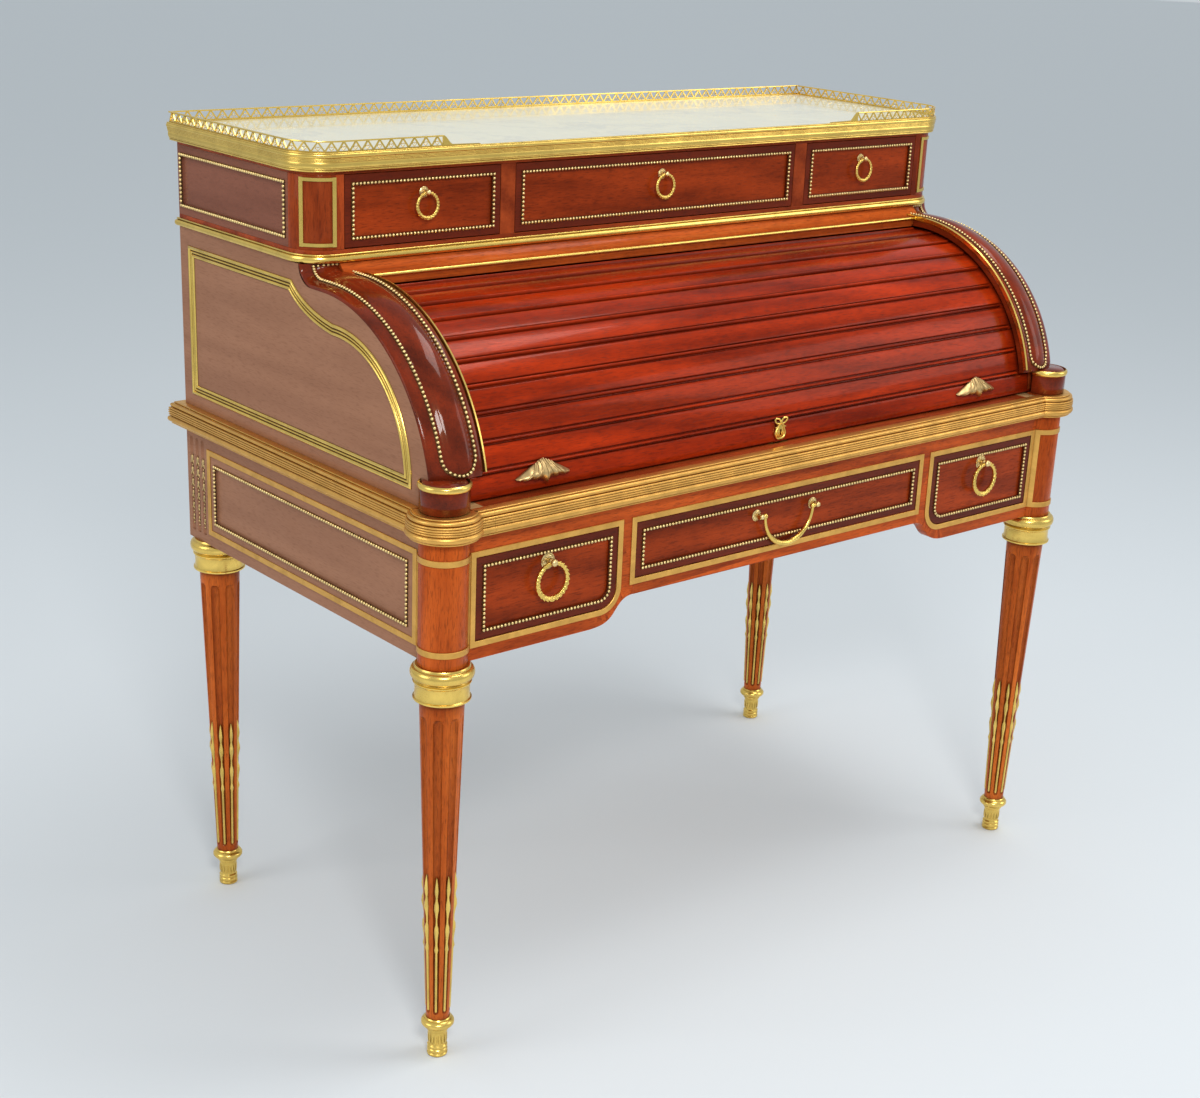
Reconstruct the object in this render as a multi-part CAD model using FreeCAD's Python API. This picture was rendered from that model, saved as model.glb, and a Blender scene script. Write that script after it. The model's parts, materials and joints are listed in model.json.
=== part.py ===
import FreeCAD, Part
import math
import os

V = FreeCAD.Vector
os.makedirs("parts", exist_ok=True)

# A cylinder (roll top) writing desk in the Louis XVI manner.  Millimetres, +Z up, the front faces -Y.
# The origin is on the floor, in the middle of the desk's width and of its overall depth.

# ---------------------------------------------------------------- driving sizes: the case
case_width = 1170.0             # over the side panels
case_depth = 614.0              # frieze front to back panel
leg_height = 558.0              # floor to the underside of the frieze
frieze_height = 164.0           # underside of the frieze to the table moulding
moulding_height = 32.0
moulding_overhang = 19.5
rail_board = 20.0               # front rails, drawer fronts and the back frieze board
side_board = 25.0               # frieze sides and the upper side panels
back_board = 14.0
deck_board = 18.0
deck_drop = 23.0                # top of the moulding down to the fixed deck
board_clearance = 0.3           # between a sliding piece and what carries it
trim_proud = 1.5                # flat brass fillets over the wood
bead_proud = 2.6
bead_width = 4.0
panel_sunk = 2.5                # recessed fields inside the pearl frames

# ---------------------------------------------------------------- corner columns, posts and legs
column_radius = 31.0
column_inset_x = 18.0           # column axis inside the side plane
column_inset_y = 15.0           # column axis behind the frieze front
turret_overhang = 17.5          # moulding round the column beyond it
corner_block_depth = 38.0       # square core of the column, back from the frieze front
post_width = 60.0
post_depth = 57.0
post_flute_radius = 5.0
post_flute_out = 2.2            # flute cutter's axis outside the post's face
post_flute_margin = 12.0
post_flute_pitch = 0.27         # share of the post's depth
leg_top_radius = 28.5
leg_foot_radius = 15.5
flute_count = 8
flute_depth = 2.4
flute_foot_share = 0.30         # flute cutter's radius against the leg's, at the foot
flute_top_share = 0.27
flute_foot_margin = 8.0
flute_end_margin = 32.0         # leg length that the straight flute leaves plain
flute_lean = 0.42               # degrees more than the leg's taper
collar_radius = 40.5
collar_band_radius = 35.0
collar_height = 46.0
collar_core_radius = 24.0
sabot_height = 58.0
sabot_ring_radius = 22.0
sabot_foot_radius = 13.5
sabot_pin_radius = 8.0
sabot_pin_length = 30.0
chandelle_bottom = 71.0
chandelle_length = 201.0
chandelle_radius = 3.4
chandelle_reed = 0.6            # reed's radius against the knots'
chandelle_knots = (0.30, 0.54, 0.76)
chandelle_tip = 0.86            # where the pointed tip starts
husk_drops = 5
husk_pitch = 18.0
husk_length = 92.0

# ---------------------------------------------------------------- frieze drawers
frame_below = 16.2              # brass frame above the underside of the frieze
frame_above = 22.8              # brass frame below the table moulding
frame_width = 8.0
centre_opening = 546.4
centre_step = 32.3              # how much higher the centre drawer's opening starts
kneehole_rise = 34.8            # the frieze is cut away under the centre drawer
kneehole_half = 274.0
kneehole_bend = 71.0            # width of the curve down to the deep ends
stile_width = 30.6
corner_stile = 10.0
drawer_corner = 27.0            # rounded lower corner of the outer drawers
drawer_gap = 0.8
drawer_side = 9.0
drawer_floor = 6.0
frieze_drawer_length = 470.0
bead_inset = 10.5
partition_board = 13.0
runner_height = 6.7
runner_lift = 7.0               # drawer box above its front's lower edge, clear of the rounded corner
outer_runner_width = 28.0
centre_runner_width = 26.0
side_frame_gap = 5.0            # side frame behind the column's brass

# ---------------------------------------------------------------- writing slide
slide_half = 515.0
slide_joint = 0.3
slide_length = 395.0
leather_thickness = 1.5
leather_border = 42.0
strike_length = 34.0
strike_half_width = 6.0
strike_thickness = 1.5
mortise_half_length = 9.0
mortise_half_width = 3.4
mortise_depth = 12.0
tab_rise = 1.2

# ---------------------------------------------------------------- tambour and its track
track_radius = 230.0            # outside of the slats
slat_thickness = 10.0
canvas_thickness = 1.5
tambour_setback = 22.2          # foot of the tambour behind the frieze front
track_drop = 12.0               # track centre below the slide's top
track_play = 0.5
groove_depth = 9.5
cheek_board = 23.0
first_angle = 3.4               # degrees above the horizontal, at the foot of the leading rail
rail_angle = 7.5
slat_angle = 8.9
slat_count = 10
slat_joint = 0.12
slat_bead_angle = 0.9
slat_bead_proud = 2.6
slat_bead_start = 0.2           # degrees above the slat's lower edge
bead_end_gap = 3.0              # bead's end inside the cheek
cheek_edge = 4.0                # wood of the cheek outside the groove
cap_height = 16.0               # scroll cap over the cheek, at its inner edge
cap_low = 3.0                   # and at its outer edge
hollow_start = 8.0              # scroll's hollow starts ahead of the upper front
hollow_end = 20.0               # and ends behind it, at the belt
scroll_line_width = 2.0
scroll_line_depth = 6.0
shoe_below = 5.0                # horseshoe's edges from the top of the round block
shoe_above = 3.0
side_band_width = 15.0          # triple-line frame on the side panel
side_band_points = ((200.0, 14.5), (211.5, 46.7), (201.0, 83.7))  # radius and angle about the track
block_height = 33.0             # round block between the moulding and the scroll
handle_offset = 412.0
handle_length = 86.0
handle_radius = 14.5
handle_place = 0.82             # how far up the leading rail
escutcheon_half = 8.5
escutcheon_proud = 2.4
escutcheon_height = 25.0
keyhole_half = 1.6
keyhole_height = 9.0
bolt_half_length = 8.6
bolt_half_width = 2.9

# ---------------------------------------------------------------- upper case
roof_rise = 30.0                # top of the tambour to the belt
upper_setback = 37.0            # upper front behind the track centre
upper_corner = 43.0
upper_floor = 17.0
upper_opening = 93.0
upper_roof = 12.0
upper_side_board = 18.0
upper_centre_opening = 524.0
upper_divider = 24.0
upper_outer_edge = 55.0         # outer drawer's edge inside the side plane
upper_drawer_space = 25.8       # behind the upper drawers
upper_bead_inset = 10.5
upper_side_margin_front = 6.0   # side pearls behind the rounded corner
upper_side_margin_back = 7.0
corner_frame_low = 4.0          # corner frame above the drawer floor
corner_frame_high = 3.0         # and below the ceiling
corner_frame_width = 6.0
guide_height = 16.0
cavetto_depth = 26.0            # cavetto rail's lip ahead of the upper front
cavetto_lip = 12.0              # height of its hollow
roll_play = 6.0                 # cavetto rail over the slats
belt_height = 11.0
belt_proud = 5.0
band_height = 23.0
band_proud = 10.0
band_thickness = 5.0
band_lip = 1.0
marble_thickness = 15.0
gallery_height = 14.0
gallery_thickness = 2.0
gallery_pitch = 20.0
gallery_return = 207.0
gallery_bar = 1.8               # height of its foot rail, and half that of its top rail
gallery_web = 1.4               # half width of a zigzag bar along the rails
gallery_set_in = 3.0            # behind the band's face

# ---------------------------------------------------------------- writing-case interior
case_board = 8.0
nest_depth = 157.0
nest_height = 131.7
nest_back_gap = 7.0             # inside the canvas, at the upper back corner
nest_drawer_height = 44.0
nest_drawers = 3
pigeonholes = 4
knob_radius = 6.0
knob_reach = 9.0
shelf_share = 0.75              # shelf's thickness against the case boards'

# ---------------------------------------------------------------- pulls
ring_radius = 23.5
ring_bar = 3.5
small_ring_radius = 16.0
small_ring_bar = 2.6
eye_play = 0.45
bail_half = 46.0
bail_bar = 4.0
bail_pivot = 3.0
bail_pivot_length = 12.0
rosette_thickness = 2.5
rosette_share = 0.45            # rosette's radius against the ring's
eye_wall = 4.0                  # metal round the hole of a full-size pull
bail_eye_gap = 4.0

# ---------------------------------------------------------------- derived places
half = case_width / 2
turret_radius = column_radius + turret_overhang
turret_reach = turret_radius - column_inset_y
front = turret_reach - (case_depth + turret_reach + moulding_overhang) / 2
back = front + case_depth
column = V(half - column_inset_x, front + column_inset_y, 0)
post_front = back - post_depth
post_axis = V(half - post_width / 2, back - post_depth / 2, 0)
frieze_bottom = leg_height
moulding_bottom = leg_height + frieze_height
moulding_top = moulding_bottom + moulding_height
deck_top = moulding_top - deck_drop
slide_top = moulding_top - 2.0
track_y = front + tambour_setback + track_radius
track_z = slide_top - track_drop
belt_bottom = track_z + track_radius + roof_rise
upper_front = track_y + upper_setback
floor_top = belt_bottom + upper_floor
ceiling = floor_top + upper_opening
roof_top = ceiling + upper_roof
marble_top = roof_top + marble_thickness
cheek_inside = half - side_board - cheek_board
cheek_radius = track_radius + track_play + cheek_edge
cap_radius = cheek_radius + cap_height
frame_bottom = frieze_bottom + frame_below
frame_top = moulding_bottom - frame_above
open_bottom = frame_bottom + frame_width
open_top = frame_top - frame_width
centre_half = centre_opening / 2
outer_inside = centre_half + stile_width
corner_face = column.x - math.sqrt(column_radius ** 2 - column_inset_y ** 2)
outer_outside = corner_face - corner_stile
core_back = front + corner_block_depth
partition_x = (centre_half + outer_inside) / 2
upper_centre_half = upper_centre_opening / 2
upper_inside = upper_centre_half + upper_divider
upper_outside = half - upper_outer_edge
canvas_inside = track_radius - slat_thickness - canvas_thickness


# ---------------------------------------------------------------- helpers
def save(name, shape):
    """Write one node, checked for soundness."""
    assert shape.isValid(), name
    shape.exportStep("parts/" + name + ".step")


def box(x0, x1, y0, y1, z0, z1):
    return Part.makeBox(x1 - x0, y1 - y0, z1 - z0, V(x0, y0, z0))


def group(shapes):
    return Part.makeCompound(shapes)


def mirrored(shape):
    return shape.mirror(V(0, 0, 0), V(1, 0, 0))


def both(shape):
    return group([shape, mirrored(shape)])


def moved(shape, x, y, z):
    copy = shape.copy()
    copy.translate(V(x, y, z))
    return copy


def on_front(shape, y):
    """Turn a shape drawn in XY, height along Z, to stand in XZ at y, height towards -Y."""
    turned = shape.copy()
    turned.rotate(V(0, 0, 0), V(1, 0, 0), 90)
    turned.translate(V(0, y, 0))
    return turned


def on_side(shape, x):
    """Turn a shape drawn in XY to stand in YZ at x, height towards +X."""
    turned = shape.copy()
    turned.rotate(V(0, 0, 0), V(1, 1, 1), 120)
    turned.translate(V(x, 0, 0))
    return turned


def rounded_wire(x0, x1, y0, y1, radii):
    """Rectangle with a radius for each corner: low-left, low-right, high-right, high-left."""
    corners = [V(x0, y0, 0), V(x1, y0, 0), V(x1, y1, 0), V(x0, y1, 0)]
    edges = []
    ends = []
    for i, corner in enumerate(corners):
        before = (corners[i - 1] - corner).normalize()
        after = (corners[(i + 1) % 4] - corner).normalize()
        radius = radii[i]
        start = corner + before * radius
        finish = corner + after * radius
        ends.append((start, finish))
        if radius:
            middle = corner + (before + after) * radius * (1 - math.sqrt(0.5))
            edges.append(Part.Arc(start, middle, finish).toShape())
        following = corners[(i + 1) % 4]
        ahead = following + (corner - following).normalize() * radii[(i + 1) % 4]
        edges.append(Part.makeLine(finish, ahead))
    return Part.Wire(Part.__sortEdges__(edges))


def plate(x0, x1, y0, y1, radii, height):
    return Part.Face(rounded_wire(x0, x1, y0, y1, radii)).extrude(V(0, 0, height))


def frame(x0, x1, y0, y1, radii, width, height):
    """Flat frame inside the given rectangle."""
    inner = [max(r - width, 0) for r in radii]
    outer_plate = plate(x0, x1, y0, y1, radii, height)
    return outer_plate.cut(plate(x0 + width, x1 - width, y0 + width, y1 - width, inner, height))


def track(radius, angle):
    """Point of the tambour's circle in YZ, the angle rising from the front."""
    a = math.radians(angle)
    return V(0, track_y - radius * math.cos(a), track_z + radius * math.sin(a))


def arc_edge(radius, a0, a1):
    return Part.Arc(track(radius, a0), track(radius, (a0 + a1) / 2), track(radius, a1)).toShape()


def arc_shell(r0, r1, a0, a1, x0, x1):
    """Part of a cylinder wall about the track's axis."""
    edges = [
        arc_edge(r0, a0, a1),
        Part.makeLine(track(r0, a1), track(r1, a1)),
        arc_edge(r1, a0, a1),
        Part.makeLine(track(r1, a0), track(r0, a0)),
    ]
    face = Part.Face(Part.Wire(Part.__sortEdges__(edges)))
    return moved(face, x0, 0, 0).extrude(V(x1 - x0, 0, 0))


def turned(points, centre):
    """Solid of revolution about a vertical axis, from (radius, height) points."""
    outline = Part.makePolygon([V(r, 0, z) for r, z in points] + [V(points[0][0], 0, points[0][1])])
    solid = Part.Face(outline).revolve(V(0, 0, 0), V(0, 0, 1), 360)
    solid.translate(centre)
    return solid


def ring_wall(r0, r1, z0, z1, centre):
    outer = Part.makeCylinder(r1, z1 - z0, centre + V(0, 0, z0))
    return outer.cut(Part.makeCylinder(r0, z1 - z0, centre + V(0, 0, z0)))


def wedge(centre, reach, a0, a1, z0, z1):
    """Pie slice about a vertical axis, angles from +X."""
    solid = Part.makeCylinder(reach, z1 - z0, V(0, 0, 0), V(0, 0, 1), a1 - a0)
    solid.rotate(V(0, 0, 0), V(0, 0, 1), a0)
    solid.translate(centre + V(0, 0, z0))
    return solid


def at_corners(shape_at_origin):
    """Copies on the four leg axes."""
    places = [column, post_axis]
    shapes = []
    for place in places:
        for sign in (-1, 1):
            shapes.append(moved(shape_at_origin, sign * place.x, place.y, 0))
    return shapes


# ---------------------------------------------------------------- legs
def leg_core():
    """Fluted, tapered leg with a pin at both ends."""
    top = leg_height - collar_height
    length = top - sabot_height
    body = Part.makeCone(leg_foot_radius, leg_top_radius, length, V(0, 0, sabot_height))
    slope = math.atan2(leg_top_radius - leg_foot_radius, length)
    for i in range(flute_count):
        r0 = leg_foot_radius * flute_foot_share
        r1 = leg_top_radius * flute_top_share
        start = V(leg_foot_radius + r0 - flute_depth, 0, sabot_height + flute_foot_margin)
        run = length - flute_end_margin
        cutter = Part.makeCone(r0, r1, run, V(0, 0, 0))
        cutter = cutter.fuse(Part.makeSphere(r1, V(0, 0, run)))
        cutter.rotate(V(0, 0, 0), V(0, 1, 0), math.degrees(slope) + flute_lean)
        cutter.translate(start)
        cutter.rotate(V(0, 0, 0), V(0, 0, 1), 360 / flute_count * i)
        body = body.cut(cutter)
    body = body.fuse(Part.makeCylinder(collar_core_radius, collar_height, V(0, 0, top)))
    pin = Part.makeCylinder(sabot_pin_radius, sabot_pin_length, V(0, 0, sabot_height - sabot_pin_length))
    return body.fuse(pin).removeSplitter()


def chandelles(leg):
    """Brass husks on reeds in the lower part of each flute of one leg."""
    taper = (leg_top_radius - leg_foot_radius) / (leg_height - collar_height - sabot_height)
    slope = math.degrees(math.atan(taper))
    reed = Part.makeCylinder(chandelle_radius * chandelle_reed, chandelle_length * (chandelle_tip + 0.02))
    for place in chandelle_knots:
        reed = reed.fuse(Part.makeSphere(chandelle_radius, V(0, 0, chandelle_length * place)))
    tip = Part.makeCone(chandelle_radius * 0.85, 0.4, chandelle_length * (1 - chandelle_tip),
                        V(0, 0, chandelle_length * chandelle_tip))
    reed = reed.fuse(tip)
    reed.rotate(V(0, 0, 0), V(0, 1, 0), slope)
    reed.translate(V(leg_foot_radius - 0.5, 0, chandelle_bottom))
    single = reed.cut(leg)
    single = max(single.Solids, key=lambda s: s.Volume)
    pieces = []
    for i in range(flute_count):
        piece = single.copy()
        piece.rotate(V(0, 0, 0), V(0, 0, 1), 360 / flute_count * i)
        pieces.append(piece)
    return group(pieces)


def sabot():
    foot = sabot_foot_radius
    pin_end = sabot_height - sabot_pin_length
    return turned([
        (0, 0), (foot, 0), (foot, 3), (foot - 1.2, 5), (foot, 8), (foot - 1.2, 11), (foot, 14),
        (foot - 2.5, 17), (foot - 1.5, 38), (foot + 2, 43), (sabot_ring_radius - 1.5, 45),
        (sabot_ring_radius, 49), (sabot_ring_radius - 1.5, 54), (foot + 5, sabot_height),
        (sabot_pin_radius, sabot_height), (sabot_pin_radius, pin_end), (0, pin_end),
    ], V(0, 0, 0))


def collar():
    low = leg_height - collar_height
    band = collar_band_radius
    return turned([
        (collar_core_radius, low), (band - 1, low), (band + 2, low + 3), (band + 2, low + 9),
        (band, low + 12), (band, low + 22), (band + 1, low + 24), (collar_radius - 1.5, low + 27),
        (collar_radius, low + 32), (collar_radius, low + 38), (collar_radius - 2, low + 43),
        (collar_radius - 6, leg_height), (collar_core_radius, leg_height),
    ], V(0, 0, 0))


def legs():
    core = leg_core()
    names = ["leg_front_left", "leg_front_right", "leg_back_left", "leg_back_right"]
    for name, leg in zip(names, at_corners(core)):
        save(name, leg)
    save("flute_husks", group(at_corners(chandelles(core)) + [both(post_husks())]))
    save("leg_sabots", group(at_corners(sabot())))
    save("leg_collars", group(at_corners(collar())))


# ---------------------------------------------------------------- frieze
def corner_column():
    """Three-quarter round column with its square core; it carries the moulding's turret."""
    low = box(corner_face, half, front, core_back, frieze_bottom, deck_top)
    shaft = Part.makeCylinder(column_radius, moulding_top - frieze_bottom, column + V(0, 0, frieze_bottom))
    behind = box(0, half, track_y - cheek_front_reach(), back, deck_top, moulding_top)
    inner_corner = box(0, corner_face, front, back, frieze_bottom, deck_top)
    side_corner = box(0, half, core_back, back, frieze_bottom, deck_top)
    return low.fuse(shaft).cut(behind).cut(inner_corner).cut(side_corner).removeSplitter()


def cheek_front_reach():
    """Distance from the track's centre forward to the cheeks' upright front edge."""
    rise = moulding_top + block_height - track_z
    return math.sqrt(cheek_radius ** 2 - rise ** 2)


def column_frame():
    """Flat brass frame bent round the column."""
    shell = ring_wall(column_radius, column_radius + trim_proud, frame_bottom, frame_top, column)
    shell = shell.cut(box(0, half, front, back, frame_bottom, frame_top))
    strip = math.degrees(frame_width / column_radius)
    start = 180 + math.degrees(math.asin(column_inset_y / column_radius)) + strip
    finish = 360 + math.degrees(math.acos(column_inset_x / column_radius)) - strip
    window = wedge(column, 2 * column_radius, start, finish, frame_bottom + frame_width, open_top)
    return shell.cut(window)


def back_post():
    """Square post with three flutes on its side face."""
    post = box(half - post_width, half, post_front, back, frieze_bottom, deck_top)
    for y in post_flutes():
        low = V(half + post_flute_out, y, frieze_bottom + post_flute_margin)
        length = frieze_height - 2.5 * post_flute_margin
        cutter = Part.makeCylinder(post_flute_radius, length, low)
        post = post.cut(cutter.fuse(Part.makeSphere(post_flute_radius, low + V(0, 0, length))))
    return post


def post_flutes():
    return [post_axis.y + i * post_depth * post_flute_pitch for i in (-1, 0, 1)]


def post_husks():
    post = back_post()
    pieces = []
    for y in post_flutes():
        husk = Part.makeCone(3.2, 1.4, husk_length, V(half + 0.6, y, frieze_bottom + 14))
        for k in range(husk_drops):
            husk = husk.fuse(Part.makeSphere(3.4, V(half + 0.8, y, frieze_bottom + 22 + husk_pitch * k)))
        husk = husk.cut(post)
        pieces.append(max(husk.Solids, key=lambda s: s.Volume))
    return group(pieces)


def frieze_outline():
    """Front elevation of the frieze: deep ends, a higher middle and a curve between them."""
    high = frieze_bottom + kneehole_rise
    edges = []
    for sign in (-1, 1):
        outer = V(sign * (kneehole_half + kneehole_bend), frieze_bottom, 0)
        turn = V(sign * (kneehole_half + kneehole_bend * 0.52), frieze_bottom + kneehole_rise * 0.27, 0)
        inner = V(sign * kneehole_half, high, 0)
        curve = Part.BSplineCurve()
        curve.interpolate([outer, turn, inner], InitialTangent=V(-sign, 0, 0), FinalTangent=V(-sign, 0, 0))
        edges.append(curve.toShape())
        foot = V(sign * corner_face, frieze_bottom, 0)
        edges.append(Part.makeLine(foot, outer))
        edges.append(Part.makeLine(foot, V(sign * corner_face, deck_top, 0)))
    edges.append(Part.makeLine(V(-kneehole_half, high, 0), V(kneehole_half, high, 0)))
    edges.append(Part.makeLine(V(-corner_face, deck_top, 0), V(corner_face, deck_top, 0)))
    return Part.Face(Part.Wire(Part.__sortEdges__(edges)))


def outer_opening(shrink, height):
    """Right outer drawer's opening, rounded at its lower inner corner."""
    radii = [max(drawer_corner - shrink, 1), 0, 0, 0]
    return plate(outer_inside + shrink, outer_outside - shrink, open_bottom + shrink, open_top - shrink,
                 radii, height)


def centre_front(shrink, height):
    low = open_bottom + centre_step
    side = centre_half - shrink
    return plate(-side, side, low + shrink, open_top - shrink, [0] * 4, height)


def front_rails():
    """Rails and stiles between the openings, cut from one veneered face."""
    face = on_front(frieze_outline().extrude(V(0, 0, rail_board)), front + rail_board)
    hole = on_front(outer_opening(0, rail_board), front + rail_board)
    middle = on_front(centre_front(0, rail_board), front + rail_board)
    face = face.cut(hole).cut(mirrored(hole)).cut(middle)
    y0 = front - 1
    y1 = front + rail_board + 1
    top = face.common(box(-half, half, y0, y1, open_top, deck_top))
    low = box(-half, half, y0, y1, frieze_bottom, open_top)
    middle_low = face.common(box(-centre_half, centre_half, y0, y1, frieze_bottom, open_top))
    stile = face.common(box(centre_half, outer_inside, y0, y1, frieze_bottom, open_top))
    ends = face.common(low).cut(middle_low).cut(stile).cut(mirrored(stile))
    save("front_rails", group([top, middle_low, both(stile)] + ends.Solids))


def side_apron():
    apron = box(half - side_board, half, core_back, post_front, frieze_bottom, deck_top)
    inset = frame_width + bead_inset + bead_width
    y0 = core_back + side_frame_margin() + inset
    y1 = post_front - inset
    sunk = box(half - panel_sunk, half, y0, y1, frame_bottom + inset, frame_top - inset)
    return apron.cut(sunk)


def side_frame_margin():
    """Side frame's front edge, clear of the column's brass."""
    return column.y + math.sqrt(column_radius ** 2 - column_inset_x ** 2) + side_frame_gap - core_back


def side_frame():
    y0 = core_back + side_frame_margin()
    flat = frame(y0, post_front, frame_bottom, frame_top, [0] * 4, frame_width, trim_proud)
    return on_side(flat, half)


def side_beads():
    inset = frame_width + bead_inset
    y0 = core_back + side_frame_margin() + inset
    low = frame(y0, post_front - inset, frame_bottom + inset, frame_top - inset, [0] * 4,
                bead_width, bead_proud)
    up = frame(upper_front + upper_corner + upper_side_margin_front, back - upper_side_margin_back,
               floor_top + upper_bead_inset,
               ceiling - upper_bead_inset, [0] * 4, bead_width, bead_proud)
    return group([on_side(low, half), on_side(up, half)])


def front_frames():
    """Flat brass frames round the three drawer openings."""
    outer = frame(outer_inside - frame_width, outer_outside + frame_width, frame_bottom, frame_top,
                  [drawer_corner + frame_width, 0, 0, 0], frame_width, trim_proud)
    outer = on_front(outer, front)
    centre = frame(-centre_half - frame_width, centre_half + frame_width, frame_bottom + centre_step,
                   frame_top, [0] * 4, frame_width, trim_proud)
    return [outer, mirrored(outer), on_front(centre, front)]


def frieze():
    save("corner_columns", both(corner_column()))
    save("back_posts", both(back_post()))
    front_rails()
    rear = box(post_width - half, half - post_width, back - rail_board, back, frieze_bottom,
               deck_top - deck_board)
    save("frieze_boards", group([both(side_apron()), rear]))
    save("frieze_frames", group(front_frames() + [both(side_frame()), both(column_frame())]))
    partition = box(partition_x - partition_board / 2, partition_x + partition_board / 2,
                    front + rail_board, back - rail_board, frieze_bottom + kneehole_rise,
                    deck_top - deck_board)
    save("drawer_runners", both(group([partition, runners()])))


def runners():
    """Bearers under the sides of the frieze drawers."""
    y0 = front + rail_board
    y1 = back - rail_board
    inner_face = partition_x + partition_board / 2
    low = open_bottom + drawer_gap + runner_lift - board_clearance
    outer_a = box(inner_face, inner_face + outer_runner_width, y0, y1, low - runner_height, low)
    outer_b = box(outer_outside - outer_runner_width / 2, half - side_board, core_back, post_front,
                  low - runner_height, low)
    high = low + centre_step
    face = partition_x - partition_board / 2
    centre_a = box(face - centre_runner_width, face, y0, y1, high - runner_height, high)
    return group([outer_a, outer_b, centre_a])


# ---------------------------------------------------------------- table moulding, deck and slide
def moulding_points():
    """Reeded section: reach out from the case and height above the moulding's foot."""
    w = moulding_overhang
    h = moulding_height
    return [(0, 0), (w - 6, 0), (w - 4, 1), (w - 3, 4), (w - 3.5, 7), (w - 1, 8.5), (w, 12),
            (w - 1, 16), (w - 2, 17), (w, 20), (w - 0.5, 25), (w - 4, h - 4), (w - 9, h - 1),
            (w - 13, h), (0, h - 2)]


def moulding_length(length):
    """Straight moulding along X from the origin, reaching out along -Y."""
    points = [V(0, -r, moulding_bottom + z) for r, z in moulding_points()]
    return Part.Face(Part.makePolygon(points + [points[0]])).extrude(V(length, 0, 0))


def turret():
    """Moulding turned round the corner column, before the case is cut from it."""
    shift = turret_radius - moulding_overhang
    points = [(shift + r, moulding_bottom + z) for r, z in moulding_points()]
    points[0] = (column_radius, moulding_bottom)
    points[-1] = (column_radius, moulding_top)
    return turned(points, column)


def table_moulding():
    ring = turret()
    solid_turret = Part.makeCylinder(turret_radius, moulding_height, column + V(0, 0, moulding_bottom))
    turret_piece = ring.cut(box(0, half, front, back, moulding_bottom, moulding_top))
    stub = moved(moulding_length(column.x - slide_half - slide_joint), slide_half + slide_joint, front, 0)
    stub = stub.cut(solid_turret)
    side = moulding_length(back + moulding_overhang - column.y)
    side.rotate(V(0, 0, 0), V(0, 0, 1), 90)
    side.translate(V(half, column.y, 0))
    mitre = Part.Face(Part.makePolygon([V(half, back, 0), V(half + 60, back, 0), V(half + 60, back + 60, 0),
                                        V(half, back, 0)])).extrude(V(0, 0, moulding_top))
    beyond = box(half, half + 60, back, back + 60, 0, moulding_top)
    side = side.cut(solid_turret).cut(beyond.cut(mitre))
    rear = moulding_length(2 * half + 2 * moulding_overhang)
    rear.rotate(V(0, 0, 0), V(0, 0, 1), 180)
    rear.translate(V(half + moulding_overhang, back, 0))
    rear = rear.cut(mitre).cut(mirrored(mitre))
    return group([both(turret_piece), both(stub), both(side), rear])


def slide_guides():
    guide = box(slide_half + slide_joint, cheek_inside, front, back - back_board, deck_top, slide_top)
    return guide.cut(Part.makeCylinder(column_radius, moulding_height, column + V(0, 0, deck_top)))


def deck():
    board = box(side_board - half, half - side_board, front + rail_board, back, deck_top - deck_board,
                deck_top)
    board = board.cut(both(box(half - post_width, half, post_front, back, 0, deck_top)))
    return board.cut(both(box(corner_face, half, front, core_back, 0, deck_top)))


def slide_board():
    board = box(-slide_half, slide_half, front, front + slide_length, deck_top + board_clearance, slide_top)
    sunk = box(-slide_half + leather_border, slide_half - leather_border, leather_front(),
               leather_back(), slide_top - leather_thickness, slide_top)
    return board.cut(sunk).cut(strike_plate()).cut(mortise())


def strike_plate():
    return box(-strike_length / 2, strike_length / 2, bolt_y() - strike_half_width,
               bolt_y() + strike_half_width, slide_top - strike_thickness, slide_top)


def mortise():
    """Hole in the slide and its strike plate for the lock's bolt."""
    return box(-mortise_half_length, mortise_half_length, bolt_y() - mortise_half_width,
               bolt_y() + mortise_half_width, slide_top - mortise_depth, slide_top)


def leather_front():
    return track_y - track_radius + slat_thickness + 10


def leather_back():
    return nest_front() - 8


def bolt_y():
    """Middle of the leading rail at its foot."""
    return track(track_radius - slat_thickness / 2, first_angle).y


def slide():
    """Leather-lined board with its own length of the table moulding."""
    save("writing_slide", slide_board())
    save("slide_leather", box(-slide_half + leather_border, slide_half - leather_border, leather_front(),
                              leather_back(), slide_top - leather_thickness, slide_top))
    length = moved(moulding_length(2 * slide_half), -slide_half, front, 0)
    tab = box(-mortise_half_length, mortise_half_length, front, front + 5, slide_top, slide_top + tab_rise)
    save("slide_brass", group([length, strike_plate().cut(mortise()), tab]))


# ---------------------------------------------------------------- sides of the roll
def s_edges(radius, top_front, belt_front):
    """Edge of a scroll: up the circle, then a hollow curve up to the belt."""
    low = math.degrees(math.asin((moulding_top + block_height - track_z) / radius))
    crown = track(radius, 90)
    turn = V(0, top_front, crown.z)
    end = V(0, belt_front, belt_bottom)
    middle = V(0, top_front + (belt_front - top_front) * 0.68, crown.z + (belt_bottom - crown.z) * 0.36)
    return [arc_edge(radius, low, 90), Part.makeLine(crown, turn), Part.Arc(turn, middle, end).toShape()]


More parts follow.
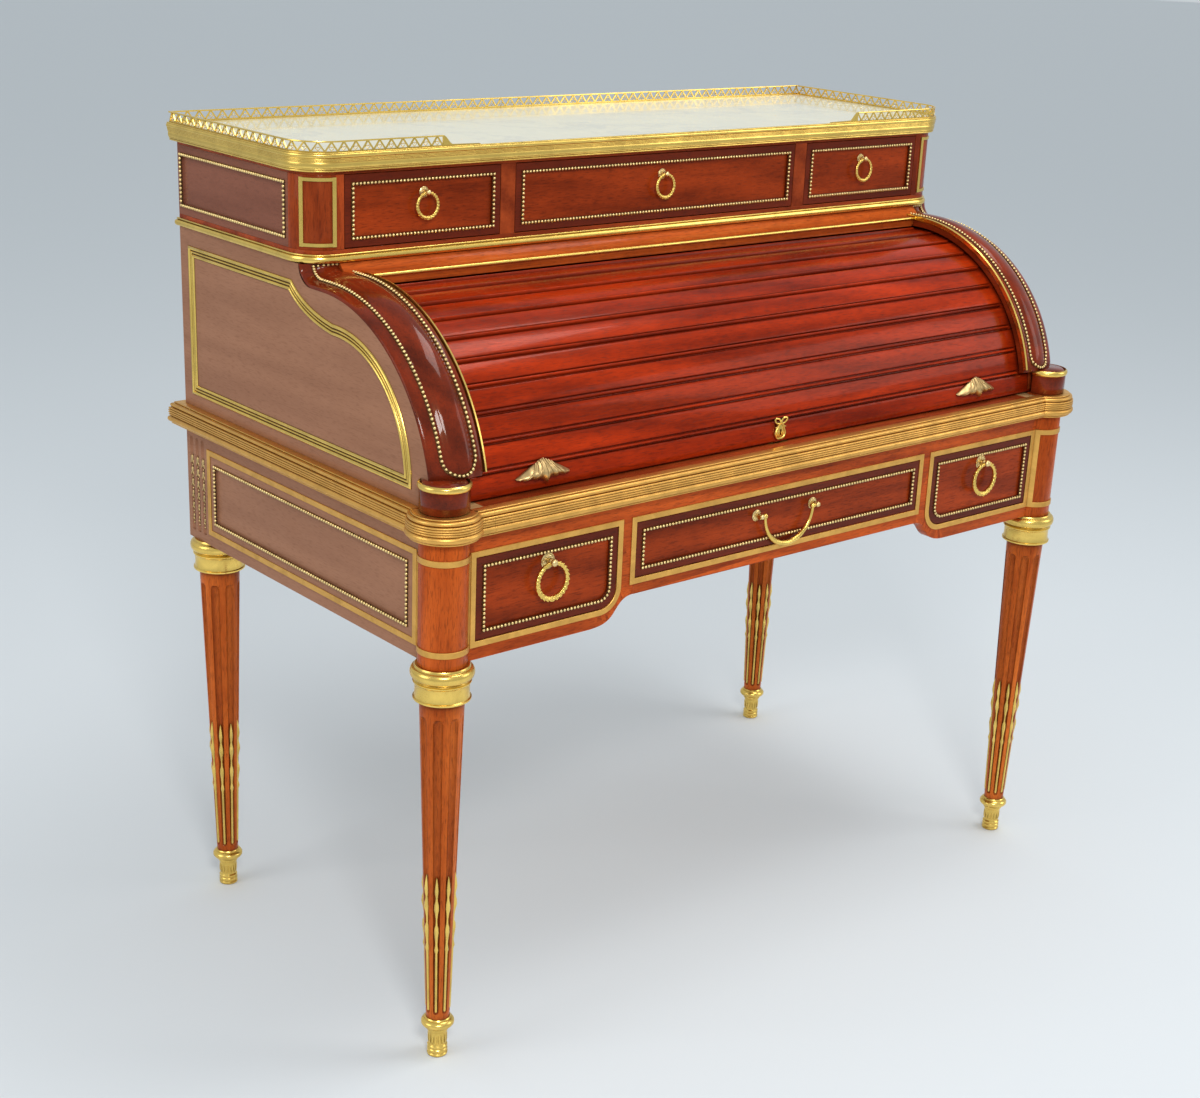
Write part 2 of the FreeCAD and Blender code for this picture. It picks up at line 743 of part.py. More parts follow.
def flank(x0, x1):
    """One board of the roll's side, its outer edge cut to the scroll."""
    top = upper_front + hollow_end
    edges = s_edges(cheek_radius, upper_front - hollow_start, top)
    foot = edges[0].Vertexes
    start = min((v.Point for v in foot), key=lambda p: p.z)
    corners = [V(0, top, belt_bottom), V(0, back, belt_bottom), V(0, back, deck_top),
               V(0, start.y, deck_top), start]
    for a, b in zip(corners, corners[1:]):
        edges.append(Part.makeLine(a, b))
    face = Part.Face(Part.Wire(Part.__sortEdges__(edges)))
    return moved(face, x0, 0, 0).extrude(V(x1 - x0, 0, 0))


def cheek():
    """Inner board with the groove that the slats run in."""
    board = flank(cheek_inside, half - side_board)
    board = board.cut(box(0, half, back - back_board, back, deck_top, belt_bottom))
    groove = arc_shell(track_radius - slat_thickness - track_play, track_radius + track_play, 0, 180,
                       cheek_inside - 1, cheek_inside + groove_depth)
    return board.cut(groove).cut(slide_guides())


def scroll_cap():
    """Rounded strip over the scroll, high at its inner edge."""
    low = math.degrees(math.asin((moulding_top + block_height - track_z) / cheek_radius))
    width = half - cheek_inside
    high = track_z + cap_radius
    inner = V(cheek_inside, track_y, high - 1.5)
    crest = V(cheek_inside + width * 0.42, track_y, high - 1.0)
    outer = V(half, track_y, track_z + cheek_radius + cap_low)
    inner_foot = V(cheek_inside, track_y, track_z + cheek_radius)
    outer_foot = V(half, track_y, track_z + cheek_radius)
    edges = [
        Part.makeLine(inner_foot, inner),
        Part.Arc(inner, crest, outer).toShape(),
        Part.makeLine(outer, outer_foot),
        Part.makeLine(outer_foot, inner_foot),
    ]
    section = Part.Face(Part.Wire(Part.__sortEdges__(edges)))
    arch = section.revolve(V(0, track_y, track_z), V(1, 0, 0), 90 - low)
    below = box(0, half, front - 50, back, deck_top, moulding_top + block_height)
    return arch.cut(below), scroll_top(section)


def scroll_top(section):
    """Hollow upper end of the cap, under the belt."""
    straight = section.extrude(V(0, upper_front + hollow_end - track_y, 0))
    return straight.cut(flank(0, half))


def scroll_block():
    """Round block on the turret, under the foot of the scroll."""
    z0 = moulding_top
    shaft = Part.makeCylinder(column_radius, block_height, column + V(0, 0, z0))
    return shaft.cut(box(0, half, track_y - cheek_front_reach(), back, z0, z0 + block_height))


def scroll_fillet():
    """Brass line along the inner edge of the cap, and the horseshoe round the block."""
    low = math.degrees(math.asin((moulding_top + block_height + 4 - track_z) / cap_radius))
    line = arc_shell(cap_radius - scroll_line_depth, cap_radius + 0.5, low, 92,
                     cheek_inside - scroll_line_width, cheek_inside)
    block_top = moulding_top + block_height
    shoe = ring_wall(column_radius, column_radius + scroll_line_width, block_top - shoe_below,
                     block_top + shoe_above, column)
    return [line, shoe.cut(box(0, half, track_y - cheek_front_reach(), back, 0, belt_bottom))]


def scroll_pearls(cap):
    """The two rows of pearls along the cap."""
    low = math.degrees(math.asin((moulding_top + block_height + 14 - track_z) / cap_radius))
    rows = []
    for x, top in ((cheek_inside + 10, cap_radius + 2.0), (half - 12, cap_radius - 1.6)):
        row = arc_shell(cheek_radius + cap_low, top, low, 89, x - bead_width / 2, x + bead_width / 2)
        row = row.cut(cap)
        rows.append(max(row.Solids, key=lambda s: s.Volume))
    return group(rows)


def upper_side_frame():
    """Brass triple-line frame on the roll's side panel, following the scroll."""
    low = moulding_top + 17
    rear = back - 23
    top = belt_bottom - 22.5
    foot, side, crown = [track(radius, angle) for radius, angle in side_band_points]
    hollow = V(0, upper_front + 2.8, top - 26.6)
    knee = V(0, upper_front + 36.8, top)
    corners = [knee, V(0, rear, top), V(0, rear, low), V(0, foot.y, low), foot]
    edges = [Part.Arc(foot, side, crown).toShape(), Part.Arc(crown, hollow, knee).toShape()]
    for a, b in zip(corners, corners[1:]):
        edges.append(Part.makeLine(a, b))
    outline = Part.Wire(Part.__sortEdges__(edges))
    outer_face = Part.Face(outline)
    inner_face = outer_face.makeOffset2D(-side_band_width)
    band = outer_face.cut(inner_face)
    return moved(band, half, 0, 0).extrude(V(trim_proud + 1, 0, 0))


def roll_sides():
    cap, top = scroll_cap()
    save("side_panels", both(flank(half - side_board, half)))
    save("track_cheeks", both(cheek()))
    save("scroll_caps", both(group([cap, top, scroll_block()])))
    save("scroll_fillets", group([both(group(scroll_fillet())), cavetto_fillet()]))
    save("pearl_mouldings", both(group([scroll_pearls(cap), side_beads()])))
    save("panel_frames", both(group([upper_side_frame(), corner_frame()])))
    save("back_panel", box(side_board - half, half - side_board, back - back_board, back, deck_top,
                           belt_bottom))


# ---------------------------------------------------------------- tambour
def slat_ends():
    return cheek_inside + groove_depth - 1.0


def tambour():
    inner = track_radius - slat_thickness
    reach = slat_ends()
    pocket = box(-mortise_half_length, mortise_half_length, bolt_y() - bolt_half_width - board_clearance,
                 bolt_y() + bolt_half_width + board_clearance, slide_top, slide_top + 21)
    rail = arc_shell(inner, track_radius, first_angle, first_angle + rail_angle - slat_joint, -reach, reach)
    slats = [rail.cut(pocket)]
    for i in range(slat_count):
        a0 = first_angle + rail_angle + slat_angle * i
        a1 = a0 + slat_angle - slat_joint
        slat = arc_shell(inner, track_radius, a0, a1, -reach, reach)
        bead = arc_shell(track_radius - 1, track_radius + slat_bead_proud, a0 + slat_bead_start,
                         a0 + slat_bead_start + slat_bead_angle, bead_end_gap - cheek_inside,
                         cheek_inside - bead_end_gap)
        slats.append(slat.fuse(bead))
    save("tambour_slats", group(slats))
    last = first_angle + rail_angle + slat_angle * slat_count
    save("tambour_canvas", arc_shell(canvas_inside, inner, first_angle + rail_angle * 0.6, last - 0.5,
                                     6 - cheek_inside, cheek_inside - 6))
    save("tambour_handles", both(leaf_handle()))
    foot = slide_top + 5
    escutcheon = box(-escutcheon_half, escutcheon_half, track_y - track_radius - escutcheon_proud, track_y,
                     foot, foot + escutcheon_height)
    keyhole = box(-keyhole_half, keyhole_half, track_y - track_radius - 9, track_y, foot + 9,
                  foot + 9 + keyhole_height)
    barrel = Part.makeCylinder(track_radius, 2 * reach, V(-reach, track_y, track_z), V(1, 0, 0))
    save("tambour_escutcheon", escutcheon.cut(keyhole).cut(barrel))
    save("lock_bolt", box(-bolt_half_length, bolt_half_length, bolt_y() - bolt_half_width,
                          bolt_y() + bolt_half_width, slide_top + 1.4, slide_top + 17))


def leaf_handle():
    """Leaf-shaped grip on the leading rail."""
    steps = 12
    points = []
    for i in range(steps + 1):
        turn = math.pi * i / steps
        points.append(V(-handle_length / 2 * math.cos(turn), handle_radius * math.sin(turn), 0))
    face = Part.Face(Part.makePolygon(points + [points[0]]))
    spindle = face.revolve(V(0, 0, 0), V(1, 0, 0), 360)
    centre = track(track_radius + 1, first_angle + rail_angle * handle_place)
    spindle.translate(V(handle_offset, centre.y, centre.z))
    clear = track_radius + slat_bead_proud + 0.4
    rail_only = Part.makeCylinder(track_radius, 2 * half, V(-half, track_y, track_z), V(1, 0, 0))
    above = track(clear, first_angle + rail_angle)
    slats = Part.makeCylinder(clear, 2 * half, V(-half, track_y, track_z), V(1, 0, 0))
    slats = slats.common(box(-half, half, front, back, above.z - 0.5, belt_bottom))
    return spindle.cut(rail_only).cut(slats)


# ---------------------------------------------------------------- upper case
def upper_plan(grow, z0, z1):
    """Plan of the upper case, grown outwards: rounded at the front corners, square behind."""
    r = upper_corner + grow
    solid = plate(-half - grow, half + grow, upper_front - grow, back + grow, [r, r, 0, 0], z1 - z0)
    return moved(solid, 0, 0, z0)


def upper_ring(inner, outer, z0, z1):
    return upper_plan(outer, z0, z1).cut(upper_plan(inner, z0, z1))


def cavetto_rail():
    """Hollow-fronted rail between the tambour and the belt."""
    lip = upper_front - cavetto_depth
    points = [V(0, lip, belt_bottom - cavetto_lip), V(0, upper_front - 1, belt_bottom)]
    low = track_z + track_radius + roll_play
    curve = Part.Arc(points[0], V(0, upper_front - 11, belt_bottom - 9.5), points[1]).toShape()
    rear = upper_front + hollow_end
    corners = [points[1], V(0, rear, belt_bottom), V(0, rear, low), V(0, lip, low), points[0]]
    edges = [curve] + [Part.makeLine(a, b) for a, b in zip(corners, corners[1:])]
    face = Part.Face(Part.Wire(Part.__sortEdges__(edges)))
    return moved(face, -cheek_inside, 0, 0).extrude(V(2 * cheek_inside, 0, 0))


def cavetto_fillet():
    lip = upper_front - cavetto_depth
    return box(2.5 - cheek_inside, cheek_inside - 2.5, lip - scroll_line_width, lip,
               belt_bottom - cavetto_lip - 5, belt_bottom - cavetto_lip)


def corner_post():
    plan = upper_plan(0, floor_top, ceiling)
    return plan.common(box(upper_outside, half, upper_front, upper_front + upper_corner, floor_top, ceiling))


def corner_frame():
    """Brass frame on the rounded corner of the upper case."""
    axis = V(half - upper_corner, upper_front + upper_corner, 0)
    z0 = floor_top + corner_frame_low
    z1 = ceiling - corner_frame_high
    shell = ring_wall(upper_corner, upper_corner + trim_proud, z0, z1, axis)
    shell = shell.common(wedge(axis, 2 * upper_corner, 270, 333, z0, z1))
    window = wedge(axis, 2 * upper_corner, 278, 325, z0 + corner_frame_width, z1 - corner_frame_width)
    return shell.cut(window)


def gallery_wall(length):
    """Pierced strip along X: a plain foot and top with a zigzag of bars between."""
    bar = gallery_bar
    web = gallery_web
    cells = max(int(length / gallery_pitch), 1)
    pitch = (length - 2 * bar) / cells
    low = bar
    high = gallery_height - 2 * bar
    outline = Part.Face(Part.makePolygon([V(0, 0, 0), V(length, 0, 0), V(length, gallery_height, 0),
                                          V(0, gallery_height, 0), V(0, 0, 0)]))
    holes = []
    for i in range(cells):
        x = bar + pitch * i
        up = [V(x + web, low, 0), V(x + pitch - web, low, 0), V(x + pitch / 2, high - 1.2, 0)]
        holes.append(Part.Face(Part.makePolygon(up + [up[0]])))
        if i + 1 < cells:
            down = [V(x + pitch / 2 + web, high, 0), V(x + pitch * 1.5 - web, high, 0),
                    V(x + pitch, low + 1.2, 0)]
            holes.append(Part.Face(Part.makePolygon(down + [down[0]])))
    face = outline.cut(group(holes))
    return face.extrude(V(0, 0, gallery_thickness))


def gallery():
    """Low pierced railing: back, sides, rounded corners and short returns at the front."""
    out = band_proud - gallery_set_in
    r = upper_corner + out
    foot = marble_top + band_lip
    x1 = half + out
    y0 = upper_front - out
    y1 = back + out
    rear = on_front(gallery_wall(2 * x1), y1)
    rear = moved(rear, -x1, 0, foot)
    side = on_side(gallery_wall(y1 - gallery_thickness - y0 - r), x1 - gallery_thickness)
    side = moved(side, 0, y0 + r, foot)
    corner_axis = V(x1 - r, y0 + r, 0)
    corner = ring_wall(r - gallery_thickness, r, foot, foot + gallery_height, corner_axis)
    corner = corner.common(wedge(corner_axis, 2 * r, 270, 360, foot, foot + gallery_height))
    length = gallery_return - r
    returned = on_front(gallery_wall(length), y0 + gallery_thickness)
    returned = moved(returned, x1 - r - length, 0, foot)
    return group([rear, both(side), both(corner), both(returned)])


def upper_case():
    save("cavetto_rail", cavetto_rail())
    save("upper_boards", group([upper_plan(0, belt_bottom, floor_top), upper_plan(0, ceiling, roof_top)]))
    save("belt_moulding", upper_ring(0, belt_proud, belt_bottom + 1, belt_bottom + 1 + belt_height))
    side = box(half - upper_side_board, half, upper_front + upper_corner, back, floor_top, ceiling)
    inset = upper_bead_inset + bead_width
    sunk = box(half - panel_sunk, half, upper_front + upper_corner + upper_side_margin_front + bead_width,
               back - upper_side_margin_back - bead_width, floor_top + inset, ceiling - inset)
    rear = box(upper_side_board - half, half - upper_side_board, back - back_board, back, floor_top, ceiling)
    save("upper_corner_posts", both(corner_post()))
    divider = box(upper_centre_half, upper_inside, upper_front, back - back_board, floor_top, ceiling)
    guide = box(upper_outside - 1.5, half - upper_side_board, upper_front + upper_corner, back - back_board,
                floor_top, floor_top + guide_height)
    save("upper_walls", group([both(group([side.cut(sunk), divider, guide])), rear]))
    band = upper_ring(band_proud - band_thickness, band_proud, roof_top, marble_top + band_lip)
    skirt = upper_ring(0, band_proud, marble_top + band_lip - band_height - 1, roof_top)
    save("cornice_band", band.fuse(skirt).removeSplitter())
    save("marble_top", upper_plan(band_proud - band_thickness, roof_top, marble_top))
    save("gallery", gallery())


# ---------------------------------------------------------------- drawers
def drawer_shell(x0, x1, y0, y1, z0, z1, side):
    """Box behind a drawer front: two sides, a back and a floor between them."""
    floor_z = z0 + 4
    left = box(x0, x0 + side, y0, y1, z0, z1)
    right = box(x1 - side, x1, y0, y1, z0, z1)
    rear = box(x0 + side, x1 - side, y1 - side, y1, z0, z1)
    floor = box(x0 + side, x1 - side, y0, y1 - side, floor_z, floor_z + drawer_floor * side / drawer_side)
    return group([left, right, rear, floor])


def pull_eye(x, y, z, ring_r, bar, length):
    """Rosette on the front with an eye that the pull hangs in."""
    hole = bar + eye_play
    eye_r = hole + eye_wall * bar / ring_bar
    eye_y = y - rosette_thickness - eye_r
    plate_disc = Part.makeCylinder(ring_r * rosette_share, rosette_thickness, V(x, y, z), V(0, -1, 0))
    eye = Part.makeCylinder(eye_r, length, V(x - length / 2, eye_y, z), V(1, 0, 0))
    foot = box(x - length / 2, x + length / 2, eye_y, y - rosette_thickness, z - eye_r * 0.6,
               z + eye_r * 0.6)
    bore = Part.makeCylinder(hole, length, V(x - length / 2, eye_y, z), V(1, 0, 0))
    return plate_disc.fuse(eye.fuse(foot)).cut(bore).removeSplitter(), eye_y


def ring(x, y, z, radius, bar):
    """Ring hanging from its top, the bar's centre line at z."""
    return Part.makeTorus(radius, bar, V(x, y, z - radius), V(0, 1, 0))


def bail(y, z):
    half_ring = Part.makeTorus(bail_half, bail_bar, V(0, y, z), V(0, 1, 0))
    half_ring = half_ring.common(box(-half, half, y - 20, y + 20, z - 2 * bail_half, z))
    pivots = []
    for sign in (-1, 1):
        start = V(sign * bail_half, y, z)
        pivots.append(Part.makeCylinder(bail_pivot, bail_pivot_length, start, V(sign, 0, 0)))
        pivots.append(Part.makeSphere(bail_bar, start))
    return half_ring.fuse(pivots).removeSplitter()


def frieze_drawers():
    z_box = open_bottom + drawer_gap + runner_lift
    y0 = front + rail_board
    y1 = y0 + frieze_drawer_length
    inset = bead_inset + bead_width
    bead_radii = [drawer_corner - bead_inset + 2, 0, 0, 0]
    edge = (outer_inside + bead_inset, outer_outside - bead_inset, open_bottom + bead_inset,
            open_top - bead_inset)
    front_piece = on_front(outer_opening(drawer_gap, rail_board), y0)
    field = plate(outer_inside + inset, outer_outside - inset, open_bottom + inset, open_top - inset,
                  [bead_radii[0] - bead_width, 0, 0, 0], panel_sunk)
    front_piece = front_piece.cut(on_front(field, front + panel_sunk))
    beads = on_front(frame(*edge, bead_radii, bead_width, bead_proud), front)
    shell = drawer_shell(outer_inside + 14, outer_outside - 2, y0, y1, z_box, open_top - 14, drawer_side)
    middle = (outer_inside + outer_outside) / 2
    pull_z = (open_bottom + open_top) / 2 + ring_radius + 5
    sunk_face = front + panel_sunk
    eye, eye_y = pull_eye(middle, sunk_face, pull_z, ring_radius, ring_bar, 5.0)
    hoop = ring(middle, eye_y, pull_z, ring_radius, ring_bar)
    for name, turn in (("right", False), ("left", True)):
        parts = [("", group([front_piece, shell])), ("_brass", group([beads, eye])), ("_ring", hoop)]
        for piece, shape in parts:
            save("drawer_" + name + piece, mirrored(shape) if turn else shape)

    low = open_bottom + centre_step
    front_piece = on_front(centre_front(drawer_gap, rail_board), y0)
    field = plate(inset - centre_half, centre_half - inset, low + inset, open_top - inset, [0] * 4,
                  panel_sunk)
    front_piece = front_piece.cut(on_front(field, sunk_face))
    beads = on_front(frame(bead_inset - centre_half, centre_half - bead_inset, low + bead_inset,
                           open_top - bead_inset, [0] * 4, bead_width, bead_proud), front)
    pull_z = (low + open_top) / 2 + 9
    eyes = []
    for sign in (-1, 1):
        eye, eye_y = pull_eye(sign * (bail_half + bail_bar + bail_eye_gap), sunk_face, pull_z,
                              ring_radius * 0.7, bail_pivot, 6.0)
        eyes.append(eye)
    shell = drawer_shell(4 - centre_half, centre_half - 4, y0, y1, z_box + centre_step, open_top - 14,
                         drawer_side)
    save("drawer_centre", group([front_piece, shell]))
    save("drawer_centre_brass", group([beads] + eyes))
    save("drawer_centre_bail", bail(eye_y, pull_z))


def upper_drawers():
    y0 = upper_front + rail_board
    y1 = back - back_board - upper_drawer_space
    z0 = floor_top + board_clearance
    z1 = ceiling - drawer_gap
    spans = {
        "left": (-upper_outside, -upper_inside),
        "centre": (-upper_centre_half, upper_centre_half),
        "right": (upper_inside, upper_outside),
    }
    for name, (x0, x1) in spans.items():
        inset = upper_bead_inset + bead_width
        face = plate(x0 + drawer_gap, x1 - drawer_gap, z0 + drawer_gap, z1, [0] * 4, rail_board)
        field = plate(x0 + inset, x1 - inset, floor_top + inset, ceiling - inset, [0] * 4, panel_sunk)
        beads = frame(x0 + upper_bead_inset, x1 - upper_bead_inset, floor_top + upper_bead_inset,
                      ceiling - upper_bead_inset, [0] * 4, bead_width, bead_proud)
        middle = (x0 + x1) / 2
        pull_z = (floor_top + ceiling) / 2 + small_ring_radius + 1
        sunk_face = upper_front + panel_sunk
        eye, eye_y = pull_eye(middle, sunk_face, pull_z, small_ring_radius, small_ring_bar, 4.0)
        front_piece = on_front(face, y0).cut(on_front(field, sunk_face))
        shell = drawer_shell(x0 + 2, x1 - 2, y0, y1, z0, z1 - 12, drawer_side)
        save("upper_drawer_" + name, group([front_piece, shell]))
        save("upper_drawer_" + name + "_brass", group([on_front(beads, upper_front), eye]))
        hoop = ring(middle, eye_y, pull_z, small_ring_radius, small_ring_bar)
        save("upper_drawer_" + name + "_ring", hoop)


# ---------------------------------------------------------------- fitted interior
def nest_front():
    return nest_back() - nest_depth


def nest_bottom():
    return slide_top + 1.3


def nest_back():
    """Furthest back that the case's upper corner stays inside the canvas."""
    rise = nest_bottom() + nest_height - track_z
    return track_y + math.sqrt((canvas_inside - nest_back_gap) ** 2 - rise ** 2)


def nest():
    """Pigeonholes over small drawers, held between the cheeks."""
    y0 = nest_front()
    y1 = nest_back()
    z0 = nest_bottom()
    z1 = z0 + nest_height
    shelf = z0 + case_board + nest_drawer_height
    inside = cheek_inside - case_board
    boards = [
        box(-cheek_inside, cheek_inside, y0, y1, z0, z0 + case_board),
        box(-cheek_inside, cheek_inside, y0, y1, z1 - case_board, z1),
        box(-inside, inside, y0, y1 - case_board, shelf, shelf + case_board * shelf_share),
        box(-inside, inside, y1 - case_board, y1, z0 + case_board, z1 - case_board),
        box(inside, cheek_inside, y0, y1, z0 + case_board, z1 - case_board),
        box(-cheek_inside, -inside, y0, y1, z0 + case_board, z1 - case_board),
    ]
    for i in range(1, pigeonholes):
        x = -inside + 2 * inside * i / pigeonholes
        boards.append(box(x - case_board / 2, x + case_board / 2, y0, y1 - case_board,
                          shelf + case_board * shelf_share, z1 - case_board))
    for i in range(1, nest_drawers):
        x = -inside + 2 * inside * i / nest_drawers
        boards.append(box(x - case_board / 2, x + case_board / 2, y0, y1 - case_board, z0 + case_board,
                          shelf))
    save("pigeonhole_case", group(boards))
    names = ["left", "centre", "right"]
    span = 2 * inside / nest_drawers
    for i in range(nest_drawers):
        x0 = -inside + span * i + (case_board / 2 if i else 0)
        x1 = -inside + span * (i + 1) - (case_board / 2 if i + 1 < nest_drawers else 0)
        low = z0 + case_board
        face = box(x0 + 0.5, x1 - 0.5, y0, y0 + case_board, low + board_clearance, shelf - 0.5)
        shell = drawer_shell(x0 + 1, x1 - 1, y0 + case_board, y1 - case_board - 3, low + board_clearance,
                             shelf - 5, drawer_side * 0.6)
        knob = Part.makeCylinder(knob_radius * 0.5, 6, V((x0 + x1) / 2, y0, (low + shelf) / 2), V(0, -1, 0))
        head = Part.makeSphere(knob_radius, V((x0 + x1) / 2, y0 - knob_reach, (low + shelf) / 2))
        save("small_drawer_" + names[i], group([face, shell, knob.fuse(head).removeSplitter()]))


def main():
    legs()
    frieze()
    save("table_moulding", table_moulding())
    save("deck", group([deck(), both(slide_guides())]))
    slide()
    roll_sides()
    tambour()
    upper_case()
    frieze_drawers()
    upper_drawers()
    nest()


main()
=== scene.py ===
import json
import math

import bmesh
import bpy
from mathutils import Matrix, Vector


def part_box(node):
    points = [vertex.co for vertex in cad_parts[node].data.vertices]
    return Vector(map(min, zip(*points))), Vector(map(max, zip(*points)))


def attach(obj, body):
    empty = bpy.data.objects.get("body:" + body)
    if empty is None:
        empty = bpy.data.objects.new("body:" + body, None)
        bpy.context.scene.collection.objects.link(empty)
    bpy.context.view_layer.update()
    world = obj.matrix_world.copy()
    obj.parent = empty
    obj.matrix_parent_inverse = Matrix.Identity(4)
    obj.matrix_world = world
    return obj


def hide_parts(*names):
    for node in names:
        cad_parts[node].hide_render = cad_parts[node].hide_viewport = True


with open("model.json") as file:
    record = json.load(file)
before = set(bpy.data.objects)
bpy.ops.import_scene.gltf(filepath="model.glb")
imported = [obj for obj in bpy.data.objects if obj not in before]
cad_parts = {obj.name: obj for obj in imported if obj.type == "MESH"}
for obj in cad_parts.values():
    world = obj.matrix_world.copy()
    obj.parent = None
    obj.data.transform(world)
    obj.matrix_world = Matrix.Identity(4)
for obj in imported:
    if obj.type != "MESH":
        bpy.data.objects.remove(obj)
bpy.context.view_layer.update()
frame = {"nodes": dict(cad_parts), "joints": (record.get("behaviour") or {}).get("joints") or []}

bl_info = {
    "name": "Cylinder Desk",
    "version": (1, 0, 0),
    "blender": (4, 5, 0),
    "location": "View3D > Sidebar > Cylinder Desk",
    "description": "Builds the cabinet work, brass mounts and finishes of a roll top writing desk",
    "category": "Object",
}

MM = 0.001


def low(node):
    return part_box(node)[0]


def high(node):
    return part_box(node)[1]


def middle(node):
    return (low(node) + high(node)) / 2


# ------------------------------------------------------------------ places taken from the frame
HALF = high("side_panels").x
FRONT = low("front_rails").y
BACK = high("back_panel").y
FRIEZE_BOTTOM = low("frieze_boards").z
MOULDING_BOTTOM = low("table_moulding").z
MOULDING_TOP = high("table_moulding").z
OVERHANG = high("table_moulding").y - BACK
BELT_BOTTOM = high("side_panels").z
UPPER_FRONT = low("upper_boards").y
BAND_BOTTOM = low("cornice_band").z
BAND_TOP = high("cornice_band").z
BAND_PROUD = high("cornice_band").x - HALF
SLIDE_TOP = high("writing_slide").z
SLIDE_HALF = high("writing_slide").x
COLUMN = middle("leg_front_right")
REAR_LEG = middle("leg_back_right")
COLUMN_RADIUS = high("corner_columns").x - COLUMN.x
TURRET_RADIUS = high("table_moulding").x - COLUMN.x
SCROLL_WIDTH = 48 * MM
CHEEK_INSIDE = -low("track_cheeks").x - SCROLL_WIDTH
ROLL = Vector(next(j["pos_m"] for j in frame["joints"] if j["name"] == "tambour_roll"))
CANVAS_OUTSIDE = high("tambour_canvas").z - ROLL.z

# ------------------------------------------------------------------ sizes the joiner works to
SLAT_THICKNESS = 10 * MM
SLAT_RADIUS = CANVAS_OUTSIDE + SLAT_THICKNESS
FIRST_ANGLE = 3.4
RAIL_ANGLE = 7.5
SLAT_ANGLE = 8.9
SLAT_COUNT = 10
CHEEK_RADIUS = SLAT_RADIUS + 4.5 * MM
BLOCK_HEIGHT = 33 * MM
UPPER_CORNER = 43 * MM
FLAT_PROUD = 1.5 * MM
FLAT_WIDTH = 8 * MM
BEAD_INSET = 10.5 * MM
FLAT_BOTTOM = FRIEZE_BOTTOM + 16.2 * MM
FLAT_TOP = MOULDING_BOTTOM - 22.8 * MM
SIDE_FLAT_FRONT = COLUMN.y + 30.24 * MM
SIDE_FLAT_BACK = low("back_posts").y
DRAWER_CORNER = 27 * MM
SUNK = 2.5 * MM
FRONT_BOARD = 20 * MM
DRAWER_GAP = 0.8 * MM
DRAWER_SIDE = 9 * MM
FLOOR_LIFT = 4 * MM
BEDDING = 0.4 * MM


# ------------------------------------------------------------------ a piece on the bench
class Work:
    """Points and faces of one piece while it is being made."""

    def __init__(self):
        self.points = []
        self.faces = []
        self.finishes = []
        self.place = Matrix.Identity(4)

    def add(self, points, faces, finish=0, place=None):
        base = len(self.points)
        matrix = self.place @ place if place is not None else self.place
        self.points += [matrix @ Vector(p) for p in points]
        self.faces += [[base + i for i in f] for f in faces]
        self.finishes += [finish] * len(faces)

    def skin(self, rows, around=False, along=False, ends=False, finish=0):
        """Faces between rows of points; around closes each row, along closes the set of rows."""
        width = len(rows[0])
        faces = []
        for i in range(len(rows) if along else len(rows) - 1):
            a, b = i * width, (i + 1) % len(rows) * width
            for j in range(width if around else width - 1):
                k = (j + 1) % width
                faces.append([a + j, a + k, b + k, b + j])
        if ends:
            faces.append(list(range(width)))
            faces.append([(len(rows) - 1) * width + j for j in range(width)])
        self.add([p for row in rows for p in row], faces, finish)

    def block(self, x0, x1, y0, y1, z0, z1, finish=0):
        rows = [[(x, y0, z0), (x, y1, z0), (x, y1, z1), (x, y0, z1)] for x in (x0, x1)]
        self.skin(rows, around=True, ends=True, finish=finish)

    def mirror(self):
        """Adds the same again on the other side of the desk."""
        base = len(self.points)
        self.points += [Vector((-p.x, p.y, p.z)) for p in self.points]
        self.faces += [[base + i for i in reversed(f)] for f in self.faces]
        self.finishes += self.finishes

    def make(self, name, body, materials, replaces=(), soften=0.0, crease=38):
        """Turns the work into a piece that rides on a body, softening its edges if asked."""
        mesh = bpy.data.meshes.new(name)
        mesh.from_pydata([p[:] for p in self.points], [], self.faces)
        shape = bmesh.new()
        shape.from_mesh(mesh)
        for face, finish in zip(shape.faces, self.finishes):
            face.material_index = finish
            face.smooth = True
        bmesh.ops.remove_doubles(shape, verts=shape.verts, dist=0.002 * MM)
        bmesh.ops.recalc_face_normals(shape, faces=shape.faces)
        for edge in shape.edges:
            edge.smooth = len(edge.link_faces) == 2 and edge.calc_face_angle(0) < math.radians(crease)
        shape.to_mesh(mesh)
        shape.free()
        piece = bpy.data.objects.new(name, mesh)
        bpy.context.scene.collection.objects.link(piece)
        for material in materials:
            mesh.materials.append(material)
        if soften:
            soften_edges(piece, soften)
        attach(piece, body)
        if replaces:
            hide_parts(*replaces)
        return piece


def soften_edges(piece, width):
    """A small rounding on the sharp edges, as a scraper and polish leave them."""
    rounding = piece.modifiers.new("soft edges", "BEVEL")
    rounding.width = width
    rounding.segments = 2
    rounding.limit_method = "ANGLE"
    rounding.angle_limit = math.radians(40)
    rounding.harden_normals = True


# ------------------------------------------------------------------ paths, sections and turning
def in_mm(points):
    return [(a * MM, b * MM) for a, b in points]


def carry(work, section, x0, x1):
    """Carries a (y, z) section across the desk from x0 to x1."""
    work.skin([[(x, y, z) for y, z in section] for x in (x0, x1)], around=True, ends=True)


def on_front(y):
    """Places (across, up, proud) on an upright face that looks forward."""
    return lambda a, b, proud: (a, y - proud, b)


def on_side(x):
    return lambda a, b, proud: (x + proud, a, b)


def on_level(z):
    return lambda a, b, proud: (a, b, z + proud)


def arc(cx, cy, radius, start, sweep, steps):
    """Points of an arc, angles in degrees."""
    angles = [math.radians(start + sweep * i / steps) for i in range(steps + 1)]
    return [(cx + radius * math.cos(a), cy + radius * math.sin(a)) for a in angles]


